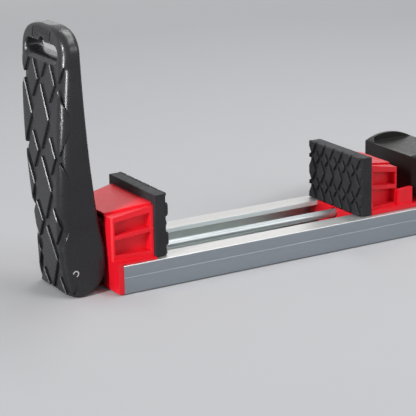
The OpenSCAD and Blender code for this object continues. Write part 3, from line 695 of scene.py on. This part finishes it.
def pad_piece(name, x_back, x_face, body, replaced):
    """A rubber pad: rounded slab, and diamond studs on its face."""
    b = Builder()
    step = 1 if x_face > x_back else -1
    floor_x = x_face - step * PAD_GROOVE
    x0, x1 = sorted((x_back, floor_x))
    b.wide(x0, x1, PAD_Y, PAD_Z0, PAD_Z1, PAD_EDGE, 3)
    low = (STUD_CLEAR - PAD_Y, PAD_Z0 + STUD_CLEAR)
    high = (PAD_Y - STUD_CLEAR, PAD_Z1 - STUD_CLEAR)
    studs = []
    for row in range(-STUD_ROWS, STUD_ROWS + 1):
        for col in range(-STUD_COLUMNS, STUD_COLUMNS + 1):
            z = PATTERN_Z + PITCH_Z * row
            studs.append((PATTERN_Y + PITCH_Y * (col + 0.5), z, *LARGE))
            studs.append((PATTERN_Y + PITCH_Y * col, z + PITCH_Z / 2, *SMALL))
    levels = (
        (floor_x - step * STUD_SUNK, -STUD_SPREAD),
        (x_face - step * STUD_EDGE, 0),
        (x_face, STUD_EDGE),
    )
    for stud in studs:
        rings = [
            [(x, y, z) for y, z in diamond(*stud, low, high, inset)] for x, inset in levels
        ]
        # Left out: a stud outside the pad, or one that its edge cuts differently at each level
        if rings[0] and len({len(ring) for ring in rings}) == 1:
            b.rings(rings)
    for y in (-PEG_Y, PEG_Y):
        x0 = min(x_back, x_back - step * PEG_L)
        b.bar((x0, y, PEG_Z), "x", PEG_R, PEG_L, 24)
    dress(b.object(name), body, [RUBBER], replaced, angle=35)


pad_piece("fixed_pad_rubber", FIXED_PAD_X, FIXED_PAD_X + PAD_T, "rail_body", "fixed_grip_pad")
pad_piece(
    "sliding_pad_rubber", SLIDE_PAD_X, SLIDE_PAD_X - PAD_T, "sliding_jaw_body", "sliding_grip_pad"
)

# Hand lever

LEVER_H, ARCH_H, ARCH_POWER = 196.0, 19.5, 2.5  # its height, and the arch of its top
BOW_R, BOW_Z, BOW_X = 950.0, 97.0, 11.5  # the bow of its outer face
LEVER_EDGE_R, LEVER_INNER_R = 6.0, 3.0
EDGE_SHARES, INNER_SHARES = (0.6, 0.8), (0.2, 0.4)  # at most, of depth and half width
TOP_T, TOP_EDGE_R, TOP_INNER_SHARE, CURVE = 12.0, 3.6, 0.7, 1.92
TOP_Y, WAIST_Y, FOOT_Y = 35.25, 23.0, 28.0  # its half widths
WAIST_Z, CAM_FLAT_Z = 48.0, 33.0
CAM_REACH, CAM_DROP, CAM_LEAST, CAM_DEGREES = 25.3, 8.7, 3.0, 90  # the foot, a cam about the pin
FOOT_R, PIN_HOLE_R = 16.9, 2.55

HANG_Z, HANG_R, HANG_REACH = 177.3, 5.75, 20.25  # the hang hole, a slot with round ends
BUMP_UP, BUMP_R = 4.6, 4.5  # the bump over it
# Its cutter: runs in X from the outer face, growths of its outline, rises of its floor
HOLE_FRONT = (
    (-2.0, 2.6, 0.0),
    (0.0, 1.2, 0.0),
    (0.6, 0.5, 0.3),
    (1.6, 0.0, 0.9),
    (3.5, 0.0, 1.8),
    (6.0, 0.0, 2.5),
)
# The same from the inner face, where the floor's rise is even
HOLE_BACK, HOLE_RISE = ((-1.4, 0.0), (0.0, 0.9), (2.0, 2.4)), 2.9

RECESS, RECESS_TOP, RECESS_RUN, RECESS_FOOT = 1.6, 170.4, 3.0, (1.0, 3.0)  # the ground's depth
CORNER_DEEPER, CORNER_RUN = 1.2, (-3, 2)  # what it is deeper beside the corners
TILE_LARGE, TILE_SMALL = (13.2, 23.5), (8.5, 13.7)  # half sizes of the raised diamonds
TILE_PITCH_U, TILE_PITCH_Z, TILE_LOW_Z, TILE_ROWS = 28.0, 52.0, 25.6, 4
TILE_FOOT, TILE_TOP, TILE_TOP_RUN, TILE_ROUND = 0.9, 170.2, 1.5, 2.6
TILE_FADE, TILE_SINK, TILE_LIFT = (0.6, 2.4), 0.06, 0.04
TILE_CHAMFER, TILE_CHAMFER_DEEP, TILE_SPREAD, TILE_SUNK = 0.6, 0.5, 0.2, 0.4
LEVER_FOOT_Z = 0.6
# Ridges and fine ribs above the hang hole
RIDGE_U, RIDGE_HALF, RIDGE_UP, RIDGE_GAP, RIDGE_TOP = 14.0, 1.0, 1.1, 0.4, 193.6
RIB_PITCH, RIB_HALF, RIB_UP, RIBS, RIB_TOP = 1.8, 0.45, 0.25, 6, 194.4
RIB_OVER_BUMP, RIB_OVER_SLOT, STRIP_SUNK = 10.0, 7.5, 0.3

EYE_R, EYE_Y, EYE_NECK, EYE_OUT = 5.3, 6.5, 4.2, 31.0  # the slot that takes the rod's eye
# The cells in its inner side
CELL_Z0, CELL_Z1, CELL_N, CELL_RIB, CELL_WALL, CELL_SIDE = 44.0, 166.0, 4, 3.0, 4.0, 5.0


def lever_out(z):
    """The outer face, bowed towards the hand."""
    return PIN_X - BOW_X + BOW_R - math.sqrt(BOW_R**2 - (z - BOW_Z) ** 2)


def cam_in(z):
    """The rounded foot, whose reach from the pin falls evenly as the lever turns."""
    reach_in = CAM_LEAST
    for i in range(CAM_DEGREES + 1):
        a = math.radians(i)
        reach = CAM_REACH - CAM_DROP * i / CAM_DEGREES
        slope = CAM_DROP / (math.pi / 2)
        if ROD_Z - reach * math.sin(a) + slope * math.cos(a) <= z:
            reach_in = max(reach_in, reach * math.cos(a) + slope * math.sin(a))
    return PIN_X + min(reach_in, CAM_REACH)


def lever_in(z):
    """The inner face: the foot's curve, then a bow up to the top."""
    if z < CAM_FLAT_Z:
        return cam_in(z)
    flat, end = PIN_X + CAM_REACH, lever_out(LEVER_H) + TOP_T
    s = (z - CAM_FLAT_Z) / (LEVER_H - CAM_FLAT_Z)
    return flat + (end - flat) * s * (CURVE - (CURVE - 1) * s)


def lever_half(z):
    """Half the width: foot, waist, then widening to the hang hole."""
    if z < WAIST_Z:
        return WAIST_Y + (FOOT_Y - WAIST_Y) * (1 - z / WAIST_Z) ** 2
    s = min(1, (z - WAIST_Z) / (HANG_Z - WAIST_Z))
    return WAIST_Y + (TOP_Y - WAIST_Y) * math.sin(math.pi / 2 * s)


def lever_side(z):
    """Half the width, drawn in under the arched top."""
    up = max(0.0, z - (LEVER_H - ARCH_H)) / ARCH_H
    return lever_half(z) * max(0.0, 1 - up**ARCH_POWER) ** (1 / ARCH_POWER)


class Section:
    """The lever's outline at one height. Round its outer face, the rounded corner starts at
    distance flat from the middle line and ends at distance turned."""

    def __init__(self, z):
        self.z = z
        self.out, self.inner, self.half = lever_out(z), lever_in(z), lever_side(z)
        if z < ROD_Z:
            drop = min(FOOT_R, ROD_Z - z)
            self.out = max(self.out, PIN_X - math.sqrt(FOOT_R**2 - drop**2))
        up = max(0.0, z - (LEVER_H - TOP_EDGE_R))
        soft = TOP_EDGE_R - math.sqrt(max(0.0, TOP_EDGE_R**2 - up**2))
        self.out += soft
        self.inner -= TOP_INNER_SHARE * soft
        depth = self.inner - self.out
        of_depth, of_half = EDGE_SHARES
        self.r = min(LEVER_EDGE_R, depth * of_depth, self.half * of_half)
        of_depth, of_half = INNER_SHARES
        self.ri = min(LEVER_INNER_R, depth * of_depth, self.half * of_half)
        self.flat = self.half - self.r
        self.turned = self.flat + self.r * math.pi / 2

    def ground(self, u):
        """How far the ground between the raised diamonds lies behind the skin at distance u. It
        falls a little deeper at the corners."""
        start, end = CORNER_RUN
        deep = RECESS + CORNER_DEEPER * smooth(self.flat + start, self.flat + end, abs(u))
        under_top = 1 - smooth(RECESS_TOP - RECESS_RUN, RECESS_TOP, self.z)
        return deep * under_top * smooth(*RECESS_FOOT, self.z)

    def skin(self, u, lift=0.0, back=0.0):
        """The point at distance u round the outer face from its middle line. Lift is measured
        out from the skin, and back straight into the lever."""
        s, a = (1 if u >= 0 else -1), abs(u)
        x, y = self.out - lift, a
        if a > self.turned:
            x, y = self.out + self.r + a - self.turned, self.half + lift
        elif a > self.flat:
            phi = (a - self.flat) / self.r
            x = self.out + self.r - (self.r + lift) * math.cos(phi)
            y = self.flat + (self.r + lift) * math.sin(phi)
        return (min(x + back, self.inner - self.ri), s * y, self.z)

    def ring(self):
        """The points once round: along the outer face, then back over the inner one."""
        side_back = self.ground(self.turned)
        end = self.turned + self.inner - self.ri - self.out - self.r - side_back
        n = 8
        us = [self.flat * (i / n - 1) for i in range(2 * n + 1)]
        right = [self.flat + (self.turned - self.flat) * i / n for i in range(1, n + 1)]
        right += [self.turned + (end - self.turned) * t for t in (0.1, 0.25, 0.5, 0.75, 1.0)]
        us = [-u for u in reversed(right)] + us + right
        ring = [self.skin(u, 0, self.ground(u)) for u in us]
        turn = [math.pi / 2 * i / 3 for i in (1, 2, 3)]
        corner = [
            (self.inner - self.ri * (1 - math.sin(a)), self.half - self.ri * (1 - math.cos(a)))
            for a in turn
        ]
        ring += [(x, y, self.z) for x, y in corner]
        flat = self.half - self.ri
        ring += [(self.inner, flat * (1 - i / 4), self.z) for i in range(1, 8)]
        ring += [(x, -y, self.z) for x, y in reversed(corner)]
        return ring


def lever_tile(b, cu, cz, hw, hh, columns=12, rows=14):
    """A raised diamond wrapped round the lever's outer corners, open below, inside the lever. Its
    edge is cut off straight where it would pass the corner, the foot or the hang hole."""
    span = math.hypot(hw, hh) / (hw * hh)

    def rim(grow, lift):
        k = 1 + grow * span
        z0, z1 = max(cz - hh * k, TILE_FOOT - grow), min(cz + hh * k, TILE_TOP + grow)
        grid = []
        for i in range(rows + 1):
            z = z0 + (z1 - z0) * i / rows
            section = Section(max(z, LEVER_FOOT_Z))
            half = hw * k * max(0.0, 1 - abs(z - cz) / (hh * k))
            limit = section.turned + TILE_ROUND + grow
            u0, u1 = max(cu - half, -limit), min(cu + half, limit)
            row = []
            for j in range(columns + 1):
                u = u0 + (u1 - u0) * j / columns
                at_side = smooth(*TILE_FADE, abs(u) - section.turned)
                sink = max(at_side, smooth(TILE_TOP - TILE_TOP_RUN, TILE_TOP, z))
                row.append(section.skin(u, lift if lift < 0 else lift - TILE_SINK * sink))
            grid.append(row)
        return grid

    top = rim(-TILE_CHAMFER, TILE_LIFT)
    part = bmesh.new()
    grid = [[part.verts.new(p) for p in row] for row in top]
    for r0, r1 in zip(grid, grid[1:]):
        for j in range(columns):
            part.faces.new([r0[j], r0[j + 1], r1[j + 1], r1[j]])

    def around(g):
        return (
            g[0][:-1]
            + [row[-1] for row in g[:-1]]
            + g[-1][:0:-1]
            + [row[0] for row in g[:0:-1]]
        )

    last = around(grid)
    below = -RECESS - CORNER_DEEPER - TILE_SUNK
    for grow, lift in ((0.0, -TILE_CHAMFER_DEEP), (TILE_SPREAD, below)):
        ring = [part.verts.new(p) for p in around(rim(grow, lift))]
        n = len(ring)
        for i in range(n):
            k = (i + 1) % n
            part.faces.new([last[i], last[k], ring[k], ring[i]])
        last = ring
    bmesh.ops.remove_doubles(part, verts=part.verts, dist=0.002)
    b.add(part)


def lever_tiles(b):
    """Rows of large diamonds, with small ones in the gaps between them."""
    for k in range(TILE_ROWS):
        for side in (-1, 0, 1):
            u, z = TILE_PITCH_U * side, TILE_LOW_Z + TILE_PITCH_Z * k
            lever_tile(b, u, z, *TILE_LARGE)
        for side in (-0.5, 0.5):
            u, z = TILE_PITCH_U * side, TILE_LOW_Z + TILE_PITCH_Z * (k - 0.5)
            lever_tile(b, u, z, *TILE_SMALL)


def lever_ridges(b):
    """Two ridges beside the hang hole's bump, and fine ribs between them over the top."""

    def strip(u, half, height, z0, z1, n=14):
        """A low strip up the outer face from z0 to z1, which rises and falls at its ends."""
        rings = []
        for i in range(n + 1):
            section = Section(z0 + (z1 - z0) * i / n)
            lift = height * min(1.0, 4 * i / n, 4 * (n - i) / n)
            foot = -STRIP_SUNK
            points = ((-half, foot), (-half / 2, lift), (half / 2, lift), (half, foot))
            rings.append([section.skin(u + out, up) for out, up in points])
        b.rings(rings)

    for side in (-1, 1):
        z0 = HANG_Z + HANG_R + RIDGE_GAP
        strip(side * RIDGE_U, RIDGE_HALF, RIDGE_UP, z0, RIDGE_TOP)
    for i in range(-RIBS, RIBS + 1):
        over_bump = abs(i) * RIB_PITCH < BUMP_R
        z0 = HANG_Z + (RIB_OVER_BUMP if over_bump else RIB_OVER_SLOT)
        strip(i * RIB_PITCH, RIB_HALF, RIB_UP, z0, RIB_TOP)


def hang_outline(grow, rise):
    """A long rounded slot with a bump at its top, in Y and Z, grown by grow. Its floor rises by
    rise."""
    r, bump_r, bump_z = HANG_R + grow, BUMP_R + grow, HANG_Z + BUMP_UP
    end_n, bump_n = 12, 8
    right = [-math.pi / 2 + math.pi * i / end_n for i in range(end_n + 1)]
    lean = math.asin((HANG_Z + r - bump_z) / bump_r)
    arc = [lean + (math.pi - 2 * lean) * i / bump_n for i in range(bump_n + 1)]
    points = [(HANG_REACH + r * math.cos(a), HANG_Z + r * math.sin(a)) for a in right]
    points += [(bump_r * math.cos(a), bump_z + bump_r * math.sin(a)) for a in arc]
    points += [(-y, z) for y, z in reversed(points[: end_n + 1])]
    keep = (r - rise) / r
    return [(y, z if z > HANG_Z else HANG_Z + (z - HANG_Z) * keep) for y, z in points]


def hang_hole():
    """The cutter for the hang hole: wide at both mouths, its floor rising towards the back.
    Each station is a place in X, the growth of the outline and the rise of its floor."""
    x_out, x_in = lever_out(HANG_Z), lever_in(HANG_Z)
    stations = [(x_out + run, grow, rise) for run, grow, rise in HOLE_FRONT]
    stations += [(x_in + run, grow, HOLE_RISE) for run, grow in HOLE_BACK]
    hole = Builder()
    hole.rings([[(x, y, z) for y, z in hang_outline(g, rise)] for x, g, rise in stations])
    return hole


def lever_piece():
    """The hand lever: its skin through levels close together at foot and top, then what is cut
    out of it, then its relief."""
    levels = [LEVER_FOOT_Z, 1.0, 1.8, 3.0, 4.5, *range(6, 191, 2)]
    levels += [LEVER_H - down for down in (4.8, 3.7, 2.8, 2.0, 1.4, 0.9, 0.5, 0.3)]
    b = Builder()
    b.rings([Section(z).ring() for z in levels])
    lever = b.object("hand_lever_moulding")

    slot = Builder()
    slot.bar((PIN_X, -EYE_Y, ROD_Z), "y", EYE_R, 2 * EYE_Y)
    slot.wide(PIN_X, PIN_X + EYE_OUT, EYE_Y, -CUT, ROD_Z + EYE_R, 0)
    slot.wide(PIN_X - EYE_NECK, PIN_X + EYE_OUT, EYE_Y, -CUT, ROD_Z, 0)
    slot.bar((PIN_X, -RAIL_Y, ROD_Z), "y", PIN_HOLE_R, 2 * RAIL_Y, 32)
    carve(lever, slot)

    cells = Builder()
    pitch = (CELL_Z1 - CELL_Z0 + CELL_RIB) / CELL_N
    for i in range(CELL_N):
        z0 = CELL_Z0 + pitch * i
        rings = []
        for z in (z0, z0 + pitch - CELL_RIB):
            x0, x1 = lever_out(z) + CELL_WALL, PIN_X + CAM_REACH + 2 * CUT
            w = lever_half(z) - CELL_SIDE
            rings.append([(x0, -w, z), (x1, -w, z), (x1, w, z), (x0, w, z)])
        cells.hexa(*rings, 0)
    carve(lever, cells)

    carve(lever, hang_hole())

    relief = Builder()
    lever_tiles(relief)
    lever_ridges(relief)
    join(lever, relief)
    dress(lever, "hand_lever_body", [LEVER], "hand_lever", angle=32)


lever_piece()

# Lock lever

LOCK_Y, LOCK_FOOT_Z, LOCK_TAIL_R = 38.0, 30.5, 9.6  # half its width, its foot, and its round back
RIM_Z, CROWN_X, CROWN_Z, FALL_X, FALL_Z = 60.6, 29.0, 64.7, 44.0, 59.3  # its cheeks' curve
LOCK_WALL, LOCK_TOP_T, LOCK_TAIL_T, LOCK_EDGE = 4.0, 3.0, 2.7, 1.3
LOCK_HEEL_X, LOCK_BELLY_X, LOCK_WEB_X, LOCK_WEB_Z, LOCK_WEB_OVER = 6.6, 19.8, 6.0, 46.9, 0.5
TAIL_FROM, TAIL_TURN = 62, 150  # degrees
SCOOP_Z, SCOOP_X, SCOOP_Y, SCOOP_LIP, SCOOP_CORNER = 59.4, 7.0, 34.0, 0.9, 9.0
SCOOP_R, SCOOP_L, SCOOP_TOP, SCOOP_CROWD = 0.5, 56.0, 72.0, 1.6
EAR_GAP, EAR_ROOM, EAR_ROOM_UP = 0.3, 4.0, 4.6  # room for the sliding jaw's ears
LOCK_BORE_R, LOCK_CAM_R, LOCK_CAM_Y, LOCK_CAM_LOW = 3.05, 9.0, 8.0, 1.0  # at the pivot


def lock_arch(x):
    """The curve over the cheeks, through its rim, crown and fall."""
    points = ((0.0, RIM_Z), (CROWN_X, CROWN_Z), (FALL_X, FALL_Z))
    total = 0.0
    for i, (xi, zi) in enumerate(points):
        term = zi
        for j, (xj, _) in enumerate(points):
            if j != i:
                term *= (x - xj) / (xi - xj)
        total += term
    return total


def lock_tail(r, n=20):
    """The round back of the lever, about the pivot."""
    turn = [math.radians(TAIL_FROM - TAIL_TURN * i / n) for i in range(n + 1)]
    return [(PIVOT_X + r * math.cos(a), PIVOT_Z + r * math.sin(a)) for a in turn]


def lock_scoop():
    """The thumb scoop: a trough between the cheeks, open to the front over a low lip."""
    rings = []
    steps, r = 24, SCOOP_R
    for i in range(steps + 1):
        run = SCOOP_L * (i / steps) ** SCOOP_CROWD - 2 * CUT
        x = LOCK_X0 + run
        low = SCOOP_Z + SCOOP_LIP * (1 - smooth(0.0, SCOOP_X, run))
        w = SCOOP_Y - SCOOP_CORNER * (1 - smooth(0.0, SCOOP_X, run))
        turn = [math.pi / 2 * k / 4 for k in range(5)]
        arc = [(x, w - r + r * math.sin(a), low + r - r * math.cos(a)) for a in turn]
        mirror = [(px, -py, pz) for px, py, pz in reversed(arc)]
        rings.append([(x, -w, SCOOP_TOP), *mirror, *arc, (x, w, SCOOP_TOP)])
    c = Builder()
    c.rings(rings)
    return c


def lock_piece():
    """The lock lever: a box open below, whose cam and bore sit at the pivot."""
    profile = [(LOCK_X0, LOCK_FOOT_Z)]
    profile += [(LOCK_X0 + FALL_X * i / 16, lock_arch(FALL_X * i / 16)) for i in range(17)]
    profile += lock_tail(LOCK_TAIL_R)
    profile.append((PIVOT_X - LOCK_HEEL_X, PIVOT_Z - LOCK_TAIL_R))
    profile.append((PIVOT_X - LOCK_BELLY_X, LOCK_FOOT_Z))
    b = Builder()
    b.across(profile, -LOCK_Y, LOCK_Y, LOCK_EDGE, 3)
    lever = b.object("lock_lever_moulding")

    c = Builder()
    x0, z1 = LOCK_X0 + LOCK_WALL, SCOOP_Z - LOCK_TOP_T
    roof = [(x0, 0), (x0, z1), (LOCK_X0 + FALL_X - LOCK_TOP_T, z1)]
    hollow = roof + lock_tail(LOCK_TAIL_R - LOCK_TAIL_T) + [(PIVOT_X, 0)]
    side_y = LOCK_Y - LOCK_WALL
    for y0, y1 in ((-side_y, -LOCK_CAM_Y), (LOCK_CAM_Y, side_y)):
        c.across(hollow, y0, y1, 0)
    web_x, web_y = PIVOT_X - LOCK_WEB_X, LOCK_CAM_Y + LOCK_WEB_OVER
    c.across(roof + [(web_x, LOCK_WEB_Z), (web_x, 0)], -web_y, web_y, 0)
    reach = EAR_R + EAR_ROOM
    for side in (-1, 1):
        y0, y1 = sorted((side * (EAR_Y0 - EAR_GAP), side * (EAR_Y1 + EAR_GAP)))
        c.block(PIVOT_X, PIVOT_X + reach, y0, y1, PIVOT_Z - reach, PIVOT_Z + EAR_ROOM_UP, 0)
    carve(lever, c)
    carve(lever, lock_scoop())

    cam = Builder()
    cam_z = PIVOT_Z - LOCK_CAM_LOW
    cam.bar((PIVOT_X, -LOCK_CAM_Y, cam_z), "y", LOCK_CAM_R, 2 * LOCK_CAM_Y, 48)
    join(lever, cam)
    bore = Builder()
    bore.bar((PIVOT_X, -RAIL_Y, PIVOT_Z), "y", LOCK_BORE_R, 2 * RAIL_Y, 32)
    carve(lever, bore)
    dress(lever, "lock_lever_body", [LOCK], "lock_lever", angle=35)


lock_piece()

# End cap

CAP_T, CAP_TONGUE, CAP_CLEAR = 4.0, 24.0, 0.3  # its plate, and its tongue in the channel
CAP_EDGE, CAP_FILL_EDGE, CAP_HOLE_R = 0.9, 0.4, 3.22


def cap_piece():
    """The end cap: a plate over the rail's end, and a tongue in its channel."""
    x0, x1 = RAIL_X1 - CAP_TONGUE, RAIL_X1 + BURIED
    b = Builder()
    b.wide(RAIL_X1, RAIL_X1 + CAP_T, RAIL_Y, CAP_CLEAR, RAIL_H, CAP_EDGE, 3)
    b.wide(x0, x1, TONGUE_Y, LOW_Z, RAIL_H - CAP_CLEAR, CAP_FILL_EDGE)
    b.wide(x0, x1, WING_Y, LOW_Z, WING_Z, CAP_FILL_EDGE)
    cap = b.object("end_cap_moulding")
    hole = Builder()
    hole.bar((x0 - 2 * CUT, 0, ROD_Z), "x", CAP_HOLE_R, CAP_TONGUE + CAP_T + 4 * CUT)
    carve(cap, hole)
    dress(cap, "rail_body", [CAP], "end_cap")


cap_piece()

# Floor, light and camera

FLOOR_COLOUR, BACKDROP = (0.46, 0.46, 0.47), (0.70, 0.70, 0.71)
SKY, SKY_STRENGTH = (0.93, 0.95, 1.0), 0.38
FLOOR_HALF, FLOOR_BELOW, FADE_FROM, FADE_TO = 12.0, 0.0006, 0.9, 2.6  # metres


def background_rays(tree):
    """A socket that is 1 for rays that show the background: seen, reflected or through glass."""
    path = tree.nodes.new("ShaderNodeLightPath")
    seen = path.outputs["Is Camera Ray"]
    for ray in ("Is Glossy Ray", "Is Transmission Ray"):
        either = tree.nodes.new("ShaderNodeMath")
        either.operation = "MAXIMUM"
        tree.links.new(seen, either.inputs[0])
        tree.links.new(path.outputs[ray], either.inputs[1])
        seen = either.outputs[0]
    return seen


def floor():
    """A pale matt floor that fades into the backdrop's colour far from the part."""
    bm = bmesh.new()
    corner = [(-FLOOR_HALF, -FLOOR_HALF), (FLOOR_HALF, -FLOOR_HALF)]
    corner += [(-x, -y) for x, y in corner]
    bm.faces.new([bm.verts.new((x, y, -FLOOR_BELOW)) for x, y in corner])
    mesh = bpy.data.meshes.new("floor")
    bm.to_mesh(mesh)
    bm.free()
    obj = bpy.data.objects.new("floor", mesh)
    bpy.context.scene.collection.objects.link(obj)

    look = Look("floor_pale", FLOOR_COLOUR, 0.9, 0.0, 0.0)
    look.shade(look.noise(0.02, 2.0), 0.01)
    tree = look.tree
    away = tree.nodes.new("ShaderNodeVectorMath")
    away.operation = "LENGTH"
    tree.links.new(look.where, away.inputs[0])
    far = look.between(away.outputs["Value"], 0, 1, FADE_FROM / MM, FADE_TO / MM)
    share = tree.nodes.new("ShaderNodeMath")
    share.operation = "MULTIPLY"
    tree.links.new(far, share.inputs[0])
    tree.links.new(background_rays(tree), share.inputs[1])
    pale = tree.nodes.new("ShaderNodeEmission")
    pale.inputs["Color"].default_value = (*BACKDROP, 1)
    mix = tree.nodes.new("ShaderNodeMixShader")
    tree.links.new(share.outputs[0], mix.inputs["Fac"])
    tree.links.new(look.bsdf.outputs[0], mix.inputs[1])
    tree.links.new(pale.outputs[0], mix.inputs[2])
    tree.links.new(mix.outputs[0], tree.nodes["Material Output"].inputs["Surface"])
    mesh.materials.append(look.material)


def softbox(name, where, aim, size, power, spread=180):
    """A rectangular lamp, in metres, watts and degrees of spread."""
    data = bpy.data.lights.new(name, "AREA")
    data.shape = "RECTANGLE"
    data.size, data.size_y = size
    data.energy = power
    data.spread = math.radians(spread)
    obj = bpy.data.objects.new(name, data)
    bpy.context.scene.collection.objects.link(obj)
    obj.location = where
    obj.rotation_mode = "QUATERNION"
    obj.rotation_quaternion = (Vector(aim) - Vector(where)).to_track_quat("-Z", "Y")
    obj.visible_camera = False


def world():
    """Soft light from all round, behind a pale backdrop for the camera and for reflections."""
    bpy.context.scene.world = bpy.data.worlds.new("studio")
    bpy.context.scene.world.use_nodes = True
    tree = bpy.context.scene.world.node_tree
    sky = tree.nodes["Background"]
    sky.inputs["Color"].default_value = (*SKY, 1)
    sky.inputs["Strength"].default_value = SKY_STRENGTH
    pale = tree.nodes.new("ShaderNodeBackground")
    pale.inputs["Color"].default_value = (*BACKDROP, 1)
    mix = tree.nodes.new("ShaderNodeMixShader")
    tree.links.new(background_rays(tree), mix.inputs["Fac"])
    tree.links.new(sky.outputs[0], mix.inputs[1])
    tree.links.new(pale.outputs[0], mix.inputs[2])
    tree.links.new(mix.outputs[0], tree.nodes["World Output"].inputs["Surface"])


VIEW_YAW, VIEW_PITCH, VIEW_ROLL = 30.006, 16.441, -1.114  # degrees
VIEW_PLACE, SENSOR, LENS = (-0.9237, -1.0516, 0.3983), 36.0, 144.0  # sensor and lens in mm


def camera():
    """Stands and faces as the photograph's lines of sight say."""
    yaw, pitch, roll = (math.radians(a) for a in (VIEW_YAW, VIEW_PITCH, VIEW_ROLL))
    cy, sy, cp, sp = math.cos(yaw), math.sin(yaw), math.cos(pitch), math.sin(pitch)
    forward = Vector((sy * cp, cy * cp, -sp))
    level = Vector((cy, -sy, 0.0))
    above = level.cross(forward)
    right = math.cos(roll) * level + math.sin(roll) * above
    up = math.cos(roll) * above - math.sin(roll) * level
    data = bpy.data.cameras.new("camera")
    data.sensor_width = SENSOR
    data.sensor_fit = "HORIZONTAL"
    data.lens = LENS
    data.clip_start, data.clip_end = 0.01, 50
    obj = bpy.data.objects.new("camera", data)
    bpy.context.scene.collection.objects.link(obj)
    turn = Matrix((right, up, -forward)).transposed()
    obj.matrix_world = Matrix.Translation(VIEW_PLACE) @ turn.to_4x4()
    bpy.context.scene.camera = obj


floor()
# Each lamp's place, the point it faces, its size and watts, and its spread where that is narrow
softbox("softbox_top", (0.12, -0.02, 1.31), (-0.25, 0.0, 0.0), (1.9, 0.22), 11.5)
softbox("softbox_back", (0.45, 1.75, 0.62), (-0.2, 0.0, 0.05), (2.6, 0.75), 5.0)
softbox("softbox_left", (-3.12, -0.72, 1.30), (-0.3, 0.0, 0.1), (0.40, 0.76), 9.5, 60)
softbox("softbox_low", (-0.84, -0.22, 0.11), (-0.445, -0.03, 0.2), (0.09, 0.2), 0.17, 40)
softbox("softbox_front", (0.75, -1.6, 0.9), (0.0, 0.0, 0.05), (1.1, 0.8), 12)
world()
camera()
bpy.context.scene.view_settings.view_transform = "Standard"
